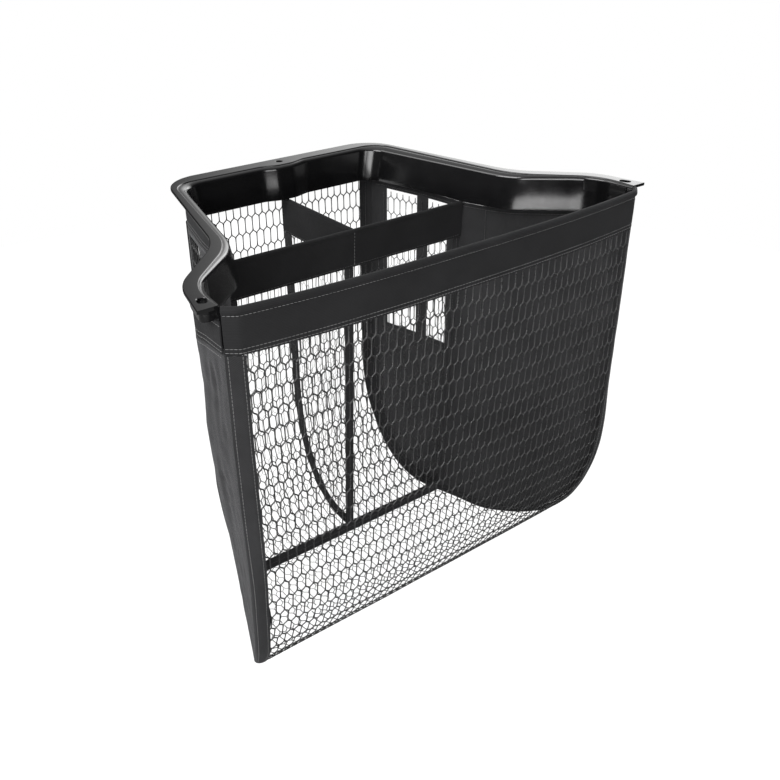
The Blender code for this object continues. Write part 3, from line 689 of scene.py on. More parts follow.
def fabric(name, dark, light, pitch, kind="plain", roughness=0.85, sheen=0.15, weave=0.5, fuzz=0.25):
    """Woven cloth: yarn relief at its pitch, yarn-to-yarn colour and soft mottling."""
    m, nt, shader, place, u, v = start(name)
    if kind == "twill":
        diag = math_node(nt, "ADD", u, v)
        a = sine(nt, diag, pitch * 1.6)
        b = sine(nt, u, pitch)
        relief = math_node(nt, "ADD", math_node(nt, "MULTIPLY", a, 0.7), math_node(nt, "MULTIPLY", b, 0.3))
    elif kind == "rib":
        a = sine(nt, v, pitch)
        b = sine(nt, u, pitch * 0.8)
        relief = math_node(nt, "ADD", math_node(nt, "MULTIPLY", a, 0.65),
                           math_node(nt, "MULTIPLY", math_node(nt, "MULTIPLY", a, b), 0.35))
    else:
        a = sine(nt, u, pitch)
        b = sine(nt, v, pitch)
        relief = math_node(nt, "MULTIPLY", a, b)
    mottle = noise_node(nt, place, 22.0, 4.0)
    slub = noise_node(nt, place, 420.0, 2.0)
    yarn = math_node(nt, "MULTIPLY", relief, 0.18)
    tone = math_node(nt, "ADD", math_node(nt, "ADD", math_node(nt, "MULTIPLY", mottle, 0.55),
                                          math_node(nt, "MULTIPLY", slub, 0.45)), yarn)
    nt.links.new(ramp(nt, tone, [(0.28, dark), (0.78, light)]), shader.inputs["Base Color"])
    nt.links.new(spread(nt, slub, roughness - 0.08, roughness + 0.08), shader.inputs["Roughness"])
    first = bump(nt, slub, fuzz, 0.0003)
    nt.links.new(bump(nt, relief, weave, 0.00018, first), shader.inputs["Normal"])
    shader.inputs["Sheen Weight"].default_value = sheen
    shader.inputs["Sheen Roughness"].default_value = 0.5
    shader.inputs["Sheen Tint"].default_value = (0.6, 0.6, 0.62, 1)
    shader.inputs["Specular IOR Level"].default_value = 0.14
    return m


def thread(name, dark, light, period, roughness=0.5, sheen=0.1, specular=0.5):
    """Twisted yarn: plies wind round the thread."""
    m, nt, shader, place, u, v = start(name)
    turn = math_node(nt, "ADD", math_node(nt, "MULTIPLY", u, 2 * math.pi / period),
                     math_node(nt, "MULTIPLY", v, 4 * math.pi))
    ply = math_node(nt, "SINE", turn)
    spot = noise_node(nt, place, 160.0, 2.0)
    tone = math_node(nt, "ADD", spot, math_node(nt, "MULTIPLY", ply, 0.12))
    nt.links.new(ramp(nt, tone, [(0.3, dark), (0.72, light)]), shader.inputs["Base Color"])
    nt.links.new(spread(nt, spot, roughness - 0.08, roughness + 0.1), shader.inputs["Roughness"])
    nt.links.new(bump(nt, ply, 0.45, 0.00012), shader.inputs["Normal"])
    shader.inputs["Sheen Weight"].default_value = sheen
    shader.inputs["Sheen Tint"].default_value = (0.7, 0.7, 0.72, 1)
    shader.inputs["Specular IOR Level"].default_value = specular
    return m


def moulded(name, base, roughness=0.2):
    """Gloss moulded plastic: faint flow and polish marks."""
    m, nt, shader, place, u, v = start(name)
    flow = noise_node(nt, place, 9.0, 3.0)
    fine = noise_node(nt, place, 650.0, 2.0)
    rub = noise_node(nt, place, 60.0, 6.0, 0.7)
    hi = tuple(c * 1.7 for c in base)
    nt.links.new(ramp(nt, flow, [(0.3, base), (0.75, hi)]), shader.inputs["Base Color"])
    nt.links.new(spread(nt, rub, roughness - 0.035, roughness + 0.05), shader.inputs["Roughness"])
    one = bump(nt, flow, 0.05, 0.0005)
    nt.links.new(bump(nt, fine, 0.02, 0.00002, one), shader.inputs["Normal"])
    shader.inputs["IOR"].default_value = 1.5
    return m


RIM_MAT = moulded("rim_gloss_black", (0.0028, 0.0028, 0.0030), 0.16)
WEB_MAT = fabric("hem_webbing", (0.0068, 0.0068, 0.0072), (0.0145, 0.0145, 0.0152), 1.25, "rib", 0.84, 0.05, 0.45)
GUSSET_MAT = fabric("side_cloth", (0.009, 0.009, 0.0094), (0.024, 0.024, 0.025), 1.0, "plain", 0.80, 0.16, 0.5)
TAPE_MAT = fabric("binding_tape", (0.0095, 0.0095, 0.010), (0.024, 0.024, 0.025), 1.1, "twill", 0.82, 0.10, 0.5)
NET_MAT = thread("net_yarn", (0.003, 0.003, 0.0032), (0.008, 0.008, 0.0084), 1.5, 0.30, 0.03, 0.75)
SEAM_MAT = thread("seam_thread", (0.065, 0.065, 0.065), (0.15, 0.15, 0.15), 0.9, 0.55, 0.1)
DARK_SEAM_MAT = thread("seam_thread_dark", (0.016, 0.016, 0.016), (0.036, 0.036, 0.036), 0.9, 0.55, 0.1)
ROD_MAT = moulded("rod_black", (0.02, 0.02, 0.02), 0.45)


# ------------------------------------------------------------------------ rim
def both_sides(rail):
    left = rail[::-1].copy()
    left[:, 0] *= -1
    return np.concatenate([left[:-1], rail])


RIM_CONVEX = 1.2        # how quickly the skirt's draft dies away below its rounded shoulder


def build_rim():
    cloth_side = outset(SKIRT_RAIL, bag_outset(SKIRT_RAIL))
    cloth_ledge = outset(SKIRT_RAIL, bag_outset(SKIRT_RAIL) + 1.4)
    inner, shoulder, skirt = bump_back(INNER_RAIL), bump_back(SHOULDER_RAIL), bump_back(SKIRT_RAIL)
    k = 0.8
    steps = [(cloth_ledge, 0.0), (outset(OUTER_RAIL, -0.7), 0.0), (outset(OUTER_RAIL, -0.2), 0.2),
             (OUTER_RAIL, 0.7), (OUTER_RAIL, FLANGE_T - k)]
    for a in (22.5, 45.0, 67.5):
        steps.append((outset(OUTER_RAIL, -k * (1 - math.cos(math.radians(a)))),
                      FLANGE_T - k + k * math.sin(math.radians(a))))
    steps += [(outset(OUTER_RAIL, -k), FLANGE_T), (outset(inner, 1.0), FLANGE_T),
              (outset(inner, 0.62), FLANGE_T - 0.08), (outset(inner, 0.29), FLANGE_T - 0.29),
              (outset(inner, 0.08), FLANGE_T - 0.62), (inner, FLANGE_T - 1.0)]
    steps += [(inner + (skirt - inner) * 0.012, FLANGE_T - 1.0), (inner + (skirt - inner) * 0.03, FLANGE_T - 1.12)]
    for a in np.linspace(0, 80.0, 14)[1:]:
        a = math.radians(a)
        steps.append((inner + (skirt - inner) * (0.05 + 0.50 * math.sin(a)), FLANGE_T - 1.12 - 5.0 * (1 - math.cos(a))))
    join, rest = steps[-1][1], 1.0 - (0.05 + 0.50 * math.sin(math.radians(80.0)))
    floor_z = SKIRT_BOTTOM + 0.8
    for z in (-2.6, -3.6, -4.8, -6.4, -8.4, -10.8, -13.6, -17.0, -21.0, -25.5, -30.0, floor_z):
        steps.append((inner + (skirt - inner) * (1.0 - rest * ((z - floor_z) / (join - floor_z)) ** RIM_CONVEX), z))
    steps += [(outset(skirt, 0.25), SKIRT_BOTTOM + 0.25), (outset(skirt, 0.8), SKIRT_BOTTOM),
              (outset(skirt, SKIRT_T - 0.8), SKIRT_BOTTOM), (outset(skirt, SKIRT_T - 0.25), SKIRT_BOTTOM + 0.25),
              (outset(skirt, SKIRT_T), SKIRT_BOTTOM + 0.8),
              (outset(skirt_rail(-9.6), SKIRT_T), -10.0), (outset(skirt_rail(-9.6), SKIRT_T + 0.4), -9.6),
              (outset(cloth_side, -0.5), -9.6), (outset(cloth_side, -0.15), -9.45), (cloth_side, -9.1),
              (cloth_side, -5.2), (outset(cloth_side, 0.1), -4.9), (outset(cloth_side, 0.4), -4.8),
              (outset(cloth_ledge, -0.4), -4.8), (outset(cloth_ledge, -0.1), -4.7), (cloth_ledge, -4.4),
              (cloth_ledge, -0.5), (outset(cloth_ledge, 0.15), -0.15)]
    rails = [np.column_stack([both_sides(r), np.full(2 * len(r) - 1, z)]) for r, z in steps]
    pts = np.stack(rails, axis=1)
    n, m = pts.shape[:2]
    i, j = np.meshgrid(np.arange(n - 1), np.arange(m), indexing="ij")
    q = (j + 1) % m
    quads = np.stack([i * m + j, i * m + q, (i + 1) * m + q, (i + 1) * m + j], axis=2).reshape(-1, 4)
    ob = new_object("rim", pts.reshape(-1, 3), quads, RIM_MAT,
                    ngons=[list(range(m))[::-1], [(n - 1) * m + k for k in range(m)]])
    bm = bmesh.new()
    bm.from_mesh(ob.data)
    bmesh.ops.recalc_face_normals(bm, faces=bm.faces)
    caps = [f for f in bm.faces if len(f.verts) > 4]
    bmesh.ops.bevel(bm, geom=[e for f in caps for e in f.edges], offset=0.00030, segments=2, affect="EDGES",
                    clamp_overlap=True)
    bm.to_mesh(ob.data)
    bm.free()

    spots = [(SCREW_BACK, SCREW_D, 0.0), (SCREW_FRONT, SLOT_L, SLOT_TURN),
             ((-SCREW_FRONT[0], SCREW_FRONT[1]), SLOT_L, -SLOT_TURN)]
    cutters = []
    for c, ((x, y), length, turn) in enumerate(spots):
        turn, count, verts = math.radians(turn), 40, []
        for z, grow in ((-14.0, 0.0), (FLANGE_T - 0.45, 0.0), (FLANGE_T + 0.3, 0.75)):
            for t in range(count):
                a = 2 * math.pi * (t + 0.5) / count
                across = (SCREW_D / 2 + grow) * math.cos(a)
                along = ((SCREW_D / 2 + grow) * math.sin(a)
                         + math.copysign((length - SCREW_D) / 2, math.sin(a)))
                verts.append((x + across * math.cos(turn) - along * math.sin(turn),
                              y + across * math.sin(turn) + along * math.cos(turn), z))
        faces = [[r * count + t, r * count + (t + 1) % count, (r + 1) * count + (t + 1) % count,
                  (r + 1) * count + t] for r in range(2) for t in range(count)]
        cut = new_object(f"cutter_{c}", verts, faces, RIM_MAT,
                         ngons=[list(reversed(range(count))), list(range(2 * count, 3 * count))])
        fix_normals(cut)
        PIECES.remove(cut)
        b = ob.modifiers.new("hole", "BOOLEAN")
        b.operation = "DIFFERENCE"
        b.solver = "EXACT"
        b.object = cut
        cutters.append(cut)
    bpy.context.view_layer.update()
    bake_modifiers(ob)
    for cut in cutters:
        me = cut.data
        bpy.data.objects.remove(cut)
        bpy.data.meshes.remove(me)
    ob.data.shade_smooth()
    ob.data.set_sharp_from_angle(angle=math.radians(38))
    w = ob.modifiers.new("even_normals", "WEIGHTED_NORMAL")
    w.mode = "FACE_AREA_WITH_ANGLE"
    w.keep_sharp = True
    bake_modifiers(ob)
    blocks = [ob] + [lug_block(side, tier) for side in (1.0, -1.0) for tier in (0, 1)]
    for piece in blocks:
        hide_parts("rim_frame")


def lug_block(side, tier):
    """Stepped block under a screw lug, following the flange and rounded at the front."""
    inset, top, low = ((2.3, 0.3, -4.9), (4.0, -4.6, -11.6))[tier]
    front, r = -275.5 + 1.2 * tier, 6.0 - tier
    rail = outset(OUTER_RAIL, -inset)
    rail = rail[(rail[:, 1] < -236.0) & (rail[:, 1] > front + r)]
    x_end = rail[-1, 0]
    arc = [(x_end - r + r * math.cos(t), front + r - r * math.sin(t)) for t in np.linspace(0, math.pi / 2, 10)]
    skirt = outset(SKIRT_RAIL, 0.9)
    skirt = skirt[(skirt[:, 1] > front) & (skirt[:, 1] < -230.0)][::-1]
    plan = np.array([tuple(q) for q in rail] + arc + [tuple(q) for q in skirt])
    plan[:, 0] *= side
    n = len(plan)
    centre = plan.mean(axis=0)
    levels = [(top, 1.0), (low + 0.5, 1.0), (low + 0.15, 0.994), (low, 0.982)]
    pts = np.concatenate([np.column_stack([centre + (plan - centre) * k, np.full(n, z)]) for z, k in levels])
    quads = [[r0 * n + t, r0 * n + (t + 1) % n, (r0 + 1) * n + (t + 1) % n, (r0 + 1) * n + t]
             for r0 in range(len(levels) - 1) for t in range(n)]
    name = f"rim_lug_{'right' if side > 0 else 'left'}_{'upper' if tier == 0 else 'lower'}"
    block = new_object(name, pts, quads, RIM_MAT,
                       ngons=[list(range(n)), list(range((len(levels) - 1) * n, len(levels) * n))[::-1]])
    fix_normals(block)
    block.data.set_sharp_from_angle(angle=math.radians(35))
    return block


def front_dent(p):
    """The side cloth is drawn in behind the front corner; less so further down."""
    q = p.copy()
    z = q[..., 2]
    a = (1.0 - 0.75 * smooth_step((-40.0 - z) / 190.0)) * smooth_step((z - BOTTOM_Z - 20.0) / 60.0)
    over = np.maximum(np.abs(q[..., 0]) - HALF_FRONT - 0.4, 0.0)
    depth = a * np.minimum(over, 6.0) * smooth_step((-234.0 - q[..., 1]) / 22.0)
    q[..., 0] -= np.sign(q[..., 0]) * depth
    return q


# ------------------------------------------------------------------ front band
def band_line(xs, s=0.0):
    p, _ = wrap(xs, np.full(len(xs), s))
    line = p[:, :2]
    t = np.gradient(line, axis=0)
    t /= np.linalg.norm(t, axis=1)[:, None]
    return line, np.stack([t[:, 1], -t[:, 0]], axis=1)


def band_xs():
    half = np.concatenate([np.linspace(0, 205, 74), np.linspace(207, 224, 10),
                           224.5 + 8.0 * np.sin(np.linspace(0.08, 1, 14) * math.pi / 2)])
    half[-1] = HALF_FRONT
    return np.concatenate([-half[:0:-1], half])


FOLD_Z = FLANGE_T - 7.6
HEM_ROWS = (BAND_BOTTOM + 2.1, BAND_BOTTOM + 5.4)


def build_front_band():
    xs = band_xs()
    line, out = band_line(xs)
    along = np.concatenate([[0], np.cumsum(np.linalg.norm(np.diff(line, axis=0), axis=1))])
    top = FLANGE_T
    zs = np.concatenate([[BAND_BOTTOM, BAND_BOTTOM + 0.25], np.arange(BAND_BOTTOM + 0.8, top - 6.2, 0.75)])

    def half_thick(z):
        h = 1.2 - 0.9 * math.exp(-((z - BAND_BOTTOM) / 0.35) ** 2)
        h += 0.16 * math.exp(-((z + 20.0) / 9.0) ** 2)
        for r in HEM_ROWS:
            h -= 0.34 * math.exp(-((z - r) / 0.75) ** 2)
        h -= 0.50 * math.exp(-((z - FOLD_Z) / 0.85) ** 2)
        return h

    front = [(half_thick(z), z, 1.0) for z in zs]
    roll = []
    for q in range(15):
        a = math.radians(-58 + 296 * q / 14)
        roll.append((2.65 * math.cos(a), top - 3.4 + 3.4 * math.sin(a), 0.3))
    section = front + roll + [(-o, z, -1.0) for o, z, _ in front[::-1]]
    o = np.array([s[0] for s in section])
    z = np.array([s[1] for s in section])
    face = np.array([s[2] for s in section])
    n, m = len(xs), len(section)
    ripple = 0.28 * waves(along[:, None], z[None, :] * 2.0, 11, 60.0) * smooth_step((z - BAND_BOTTOM) / 10.0)[None, :]
    ripple *= smooth_step((top - 7.0 - z) / 10.0)[None, :]
    pucker = np.zeros((n, m))
    for r in (*HEM_ROWS, FOLD_Z):
        pucker += 0.10 * np.sin(2 * math.pi * along[:, None] / 3.5) * np.exp(-((z[None, :] - r) / 1.3) ** 2)
    off = o[None, :] + ripple + pucker * face[None, :]
    pts = np.zeros((n, m, 3))
    pts[:, :, 0] = line[:, 0, None] + out[:, 0, None] * off
    pts[:, :, 1] = line[:, 1, None] + out[:, 1, None] * off
    pts[:, :, 2] = z[None, :]
    lay = np.zeros((n, m, 3))
    lay[:, :, 0] = along[:, None]
    lay[:, :, 1] = np.concatenate([[0], np.cumsum(np.hypot(np.diff(o), np.diff(z)))])[None, :]
    i, j = np.meshgrid(np.arange(n - 1), np.arange(m), indexing="ij")
    q = (j + 1) % m
    quads = np.stack([i * m + j, i * m + q, (i + 1) * m + q, (i + 1) * m + j], axis=2).reshape(-1, 4)
    ob = new_object("front_hem_band", pts.reshape(-1, 3), quads, WEB_MAT, lay.reshape(-1, 3),
                    ngons=[list(range(m))[::-1], [(n - 1) * m + k for k in range(m)]])
    fix_normals(ob)
    ob.data.set_sharp_from_angle(angle=math.radians(60))
    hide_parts("front_band", "front_hem_rod")
    for r in (*HEM_ROWS, FOLD_Z):
        h = half_thick(r)
        for side in (1.0, -1.0):
            path = np.column_stack([line + out * side * (h + 0.14), np.full(n, r)])
            keep = slice(2, -2)
            sew(path[keep], np.column_stack([out * side, np.zeros(n)])[keep])


# --------------------------------------------------------- bands on the skirt
def hem_rail(z):
    return outset(SKIRT_RAIL, bag_outset(SKIRT_RAIL, min(max((-12.0 - z) / 24.0, 0.0), 1.0)))


def build_skirt_bands():
    zs = np.concatenate([[BAND_TOP, BAND_TOP - 0.8], np.linspace(BAND_TOP - 2.0, BAND_BOTTOM + 1.0, 26), [BAND_BOTTOM]])
    rails = np.stack([hem_rail(z) for z in zs], axis=1)
    corner = BACK_RUN + 3 * FINE
    run = np.concatenate([[0], np.cumsum(np.linalg.norm(np.diff(rails[:, 0], axis=0), axis=1))])
    g = front_dent(np.concatenate([rails, np.broadcast_to(zs[None, :, None], rails.shape[:2] + (1,))], axis=2))
    nrm = grid_normals(g)
    nrm *= np.sign(nrm[len(nrm) // 2, 0, 0])
    wob = 0.25 * waves(run[:, None], zs[None, :] * 1.5, 23, 48.0)
    dent = np.zeros_like(wob)
    rows = (BAND_BOTTOM + 2.3, BAND_BOTTOM + 5.5, BAND_TOP - 4.0)
    for r in rows:
        dent -= 0.28 * np.exp(-((zs[None, :] - r) / 0.9) ** 2) * (1 + 0.3 * np.sin(2 * math.pi * run[:, None] / 3.5))
    g = g + nrm * (wob + dent)[:, :, None]
    side, back = g[corner:], g[:corner + 1]
    for name, mirror in (("right_hem_band", False), ("left_hem_band", True)):
        ob = cloth(name, side, BAND_T, WEB_MAT, mirror=mirror)
        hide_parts(name.replace("hem", "side"))
    whole = np.concatenate([back[:0:-1] * np.array([-1, 1, 1]), back])
    ob = cloth("back_hem_band", whole, BAND_T, WEB_MAT)
    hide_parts("back_band")
    for r in rows:
        j = int(np.argmin(np.abs(zs - r)))
        p, n = g[:, j], nrm[:, j]
        full = np.concatenate([p[:0:-1] * np.array([-1, 1, 1]), p])
        fn = np.concatenate([n[:0:-1] * np.array([-1, 1, 1]), n])
        sew(full, fn, rise=BAND_T / 2 + 0.06)


# ------------------------------------------------------------------- net wrap
def build_wrap_net():
    inset = 3.2
    inside_x = lambda u, v: np.abs(u) < half_width(v) - inset
    for name, node_name, s0, s1, lap in (("front_net_threads", "front_net", -3.0, FRONT_END, 0),
                                         ("bottom_net_threads", "bottom_net", FRONT_END, BACK_START, 1),
                                         ("back_net_threads", "back_net", BACK_START, PROFILE_LENGTH + 3.0, 2)):
        inside = lambda u, v, a=s0, b=s1: inside_x(u, v) & (v >= a - 2.0) & (v <= b + 2.0)
        lines = net_lines(lambda u, v: wrap(u, v, 0.25 * waves(u, v, 5, 90.0)), -236.0, 236.0, s0 - 20, s1 + 20,
                          inside, 40, phase_u=NET_PHASE[0], phase_v=NET_PHASE[1], wander=0.45, gauge=WRAP_GAUGE)
        ob = tubes(name, lines, NET_MAT)
        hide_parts(node_name)


NET_PHASE = (0.0, 0.0)
WRAP_GAUGE = lambda v: np.interp(v, [FRONT_END - 70, FRONT_END + 30, BACK_START - 30, BACK_START + 70],
                                 [1.62, 0.78, 0.78, 1.40])     # the bottom is stretched thin


# ------------------------------------------------------------ corner bindings
def binding_strip(s0, s1, mirror, name, node_name, seed):
    s = np.linspace(s0, s1, max(int((s1 - s0) / 4.0), 8))
    d = np.array([BINDING_W, BINDING_W - 0.7, 11.3, 10.3, 9.2, 7.8, 6.5, 5.2, 4.0, 2.8, 1.7, 0.9, 0.3, 0.0])
    w = half_width(s)
    slim = smooth_step((s - FRONT_END + 100.0) / 60.0) * (1.0 - smooth_step((s - FRONT_END - 40.0) / 80.0))
    x = w[:, None] - d[None, :] * (1.0 - 0.42 * slim)[:, None]
    p, n = wrap(x, np.broadcast_to(s[:, None], x.shape))
    crown = 0.25 * np.sin(np.clip(d / BINDING_W, 0, 1) * math.pi)[None, :]
    rows = (1.7, 10.3) if s0 < 100.0 else (6.5,)
    for at in rows:
        crown = crown - 0.30 * np.exp(-((d[None, :] - at) / 0.9) ** 2)
    ripple = 0.22 * waves(s[:, None], d[None, :] * 2, seed, 40.0) * np.sin(np.clip(d / BINDING_W, 0, 1) * math.pi)[None, :]
    g = p + n * (crown + ripple)[:, :, None]
    ob = cloth(name, g, BINDING_T, TAPE_MAT, mirror=mirror)
    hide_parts(node_name)
    face = grid_normals(g)
    face *= np.sign((face * n).sum(axis=2))[:, :, None]
    for at in rows:
        k = int(np.argmin(np.abs(d - at)))
        path, nn = g[:, k].copy(), face[:, k].copy()
        if mirror:
            path[:, 0] *= -1
            nn[:, 0] *= -1
        sew(path, nn, rise=BINDING_T / 2 + 0.08, both=BINDING_T)


def build_bindings():
    mid = (FRONT_END + BACK_START) / 2
    for side, mirror in (("right", False), ("left", True)):
        binding_strip(0.3, mid - GAP / 2, mirror, f"{side}_front_binding", f"{side}_front_corner_binding", 3)
        binding_strip(mid + GAP / 2, PROFILE_LENGTH - 0.3, mirror, f"{side}_back_binding",
                      f"{side}_back_corner_binding", 4)


# -------------------------------------------------------------------- gussets
SEAM_U = side_u(-152.0)


def gusset_foot(u):
    z = CURVE_Z
    for _ in range(60):
        y = side_point(u, z)[1]
        z = 0.5 * z + 0.5 * bottom_z(y, 0.4)
    return z


def build_gussets():
    u_a, u_b = side_u(BACK_Y - 1.0), side_u(FRONT_Y + 1.2)
    stops = [u_a]
    spans = []
    for a, b in WINDOWS:
        spans.append((side_u(a), side_u(b)))
    marks = [u_a]
    for a, b in spans:
        marks += list(np.linspace(marks[-1], a, max(int((a - marks[-1]) * 620 / 4.0), 2) + 1)[1:])
        marks += list(np.linspace(a, b, max(int((b - a) * 620 / 4.0), 4) + 1)[1:])
    rest = side_u(-262.0)
    marks += list(np.linspace(marks[-1], rest, 46)[1:])
    tail = np.linspace(0, 1, 22)[1:]
    marks += list(rest + (u_b - rest) * (1 - (1 - tail) ** 1.35))
    marks = np.array(marks)
    top = BAND_BOTTOM - GAP
    zs_top = np.concatenate([np.linspace(top, WINDOW_TOP, 3)[:-1], np.linspace(WINDOW_TOP, WINDOW_BOTTOM, 40)])
    low = np.linspace(0, 1, 42)[1:]
    low = 1 - (1 - low) ** 1.25
    feet = np.array([gusset_foot(u) for u in marks])
    Z = np.concatenate([np.broadcast_to(zs_top, (len(marks), len(zs_top))),
                        WINDOW_BOTTOM + (feet[:, None] - WINDOW_BOTTOM) * low[None, :]], axis=1)
    g = np.zeros(Z.shape + (3,))
    cache = {}
    for i, u in enumerate(marks):
        for j in range(Z.shape[1]):
            x, y = side_point(u, Z[i, j])
            g[i, j] = (x, y, Z[i, j])
    g = front_dent(g)
    nrm = grid_normals(g)
    nrm *= np.sign(nrm[len(marks) // 2, 10, 0])
    # soft creases: long slack folds, mostly upright and slanted, dying out at the seams
    run = np.concatenate([[0], np.cumsum(np.linalg.norm(np.diff(g[:, 6], axis=0), axis=1))])
    U = np.broadcast_to(run[:, None], Z.shape)
    edge_d = np.minimum.reduce([U - run[0], run[-1] - U, top - Z, np.maximum(Z - feet[:, None], 0) * 0.8])
    fade = smooth_step(edge_d / 26.0)
    hole = np.zeros(Z.shape)
    for a, b in spans:
        ra, rb = np.interp(a, marks, run), np.interp(b, marks, run)
        dx = np.maximum(np.maximum(ra - U, U - rb), 0)
        dz = np.maximum(np.maximum(Z - WINDOW_TOP, WINDOW_BOTTOM - Z), 0)
        hole = np.maximum(hole, np.exp(-(np.hypot(dx, dz) / 9.0) ** 2))
    slack = 1.1 * waves(U * 1.0, Z * 0.34, 61, 58.0) + 0.55 * waves(U * 1.5, Z * 0.5 + U * 0.5, 62, 30.0)
    crease = np.abs(waves(U * 1.0 + Z * 0.25, Z * 0.22, 63, 44.0))
    slack = slack - 0.9 * np.exp(-(crease / 0.10) ** 2)
    front = np.exp(-((g[:, :, 1] + 262.0) / 20.0) ** 2) * smooth_step((run[-1] - U) / 7.0)
    slack = slack * fade + front * (0.9 * waves(U * 1.6, Z * 0.16, 64, 15.0) + 0.4 * waves(U * 2.0, Z * 0.5, 65, 11.0)
                                    ) * smooth_step((top - Z) / 14.0) * smooth_step((Z - feet[:, None]) / 30.0)
    g2 = g + nrm * (slack * (1 - hole))[:, :, None]
    mask = np.ones((len(marks) - 1, Z.shape[1] - 1), bool)
    mid_u = (marks[:-1] + marks[1:]) / 2
    j0, j1 = 2, 2 + 39
    for a, b in spans:
        ii = (mid_u > a) & (mid_u < b)
        mask[np.ix_(ii, np.arange(j0, j1))] = False
    for side, mirror in (("right", False), ("left", True)):
        ob = cloth(f"{side}_side_cloth", g2, GUSSET_T, GUSSET_MAT, mask=mask, mirror=mirror, bevel=0.42)
        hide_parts(f"{side}_gusset")
        flip = np.array([-1.0, 1, 1]) if mirror else np.array([1.0, 1, 1])
        # hem stitching above the cloth's upper edge and round each window
        sew(g2[3:-3, 1] * flip, nrm[3:-3, 1] * flip, rise=GUSSET_T / 2 + 0.05, both=GUSSET_T)
        for a, b in spans:
            i0, i1 = int(np.argmin(np.abs(marks - a))), int(np.argmin(np.abs(marks - b)))
            for i in (i0 - 1, i1 + 1):
                sew(g2[i, 3:42] * flip, nrm[i, 3:42] * flip, rise=GUSSET_T / 2 + 0.05, both=GUSSET_T)
            sew(g2[i0:i1 + 1, 42] * flip, nrm[i0:i1 + 1, 42] * flip, rise=GUSSET_T / 2 + 0.05, both=GUSSET_T)

        i = int(np.argmin(np.abs(marks - SEAM_U)))
        sew(g2[i, 1:-3] * flip, nrm[i, 1:-3] * flip, rise=GUSSET_T / 2 + 0.02, both=GUSSET_T)

        # window nets
        for (a, b), which in zip(spans, ("rear", "front")):
            us = np.linspace(a, b, 24)
            lz = np.linspace(WINDOW_TOP + 1.5, WINDOW_BOTTOM - 1.5, 60)
            pts = np.array([[(*side_point(u, z), z) for z in lz] for u in us])
            row = np.concatenate([[0], np.cumsum(np.linalg.norm(np.diff(pts[:, 5], axis=0), axis=1))])

            def place(u, v, pts=pts, row=row, lz=lz, flip=flip):
                fi = np.interp(u, row, np.arange(len(row)))
                fj = np.interp(-v, -lz, np.arange(len(lz)))
                i = np.minimum(fi.astype(int), len(row) - 2)
                j = np.minimum(fj.astype(int), len(lz) - 2)
                fu, fv = (fi - i)[:, None], (fj - j)[:, None]
                p = ((pts[i, j] * (1 - fu) + pts[i + 1, j] * fu) * (1 - fv)
                     + (pts[i, j + 1] * (1 - fu) + pts[i + 1, j + 1] * fu) * fv)
                t = pts[i + 1, j] - pts[i, j]
                n = np.stack([-t[:, 1], t[:, 0], np.zeros(len(u))], axis=1)
                p[:, 2] = v
                return p * flip, n * flip

            width = row[-1]
            inside = lambda u, v, w=width: (u > 0.1) & (u < w - 0.1) & (v < WINDOW_TOP + 0.8) & (v > WINDOW_BOTTOM - 0.8)
            lines = net_lines(place, 0.0, width, WINDOW_BOTTOM, WINDOW_TOP, inside, 70 + len(which), 2.0, 3.0, 0.6, gauge=1.15)
            ob = tubes(f"{side}_{which}_window_threads", lines, NET_MAT)
            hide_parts(f"{side}_{which}_window_net")


# ------------------------------------------------------------------- dividers
def long_y(z):
    return LONG_TOP_Y + (LONG_LOW_Y - LONG_TOP_Y) * (DIVIDER_TOP - z) / (DIVIDER_TOP - BOTTOM_Z)


def long_end(z):
    return side_x(long_y(z), z) - GUSSET_T / 2 - GAP - 1.0


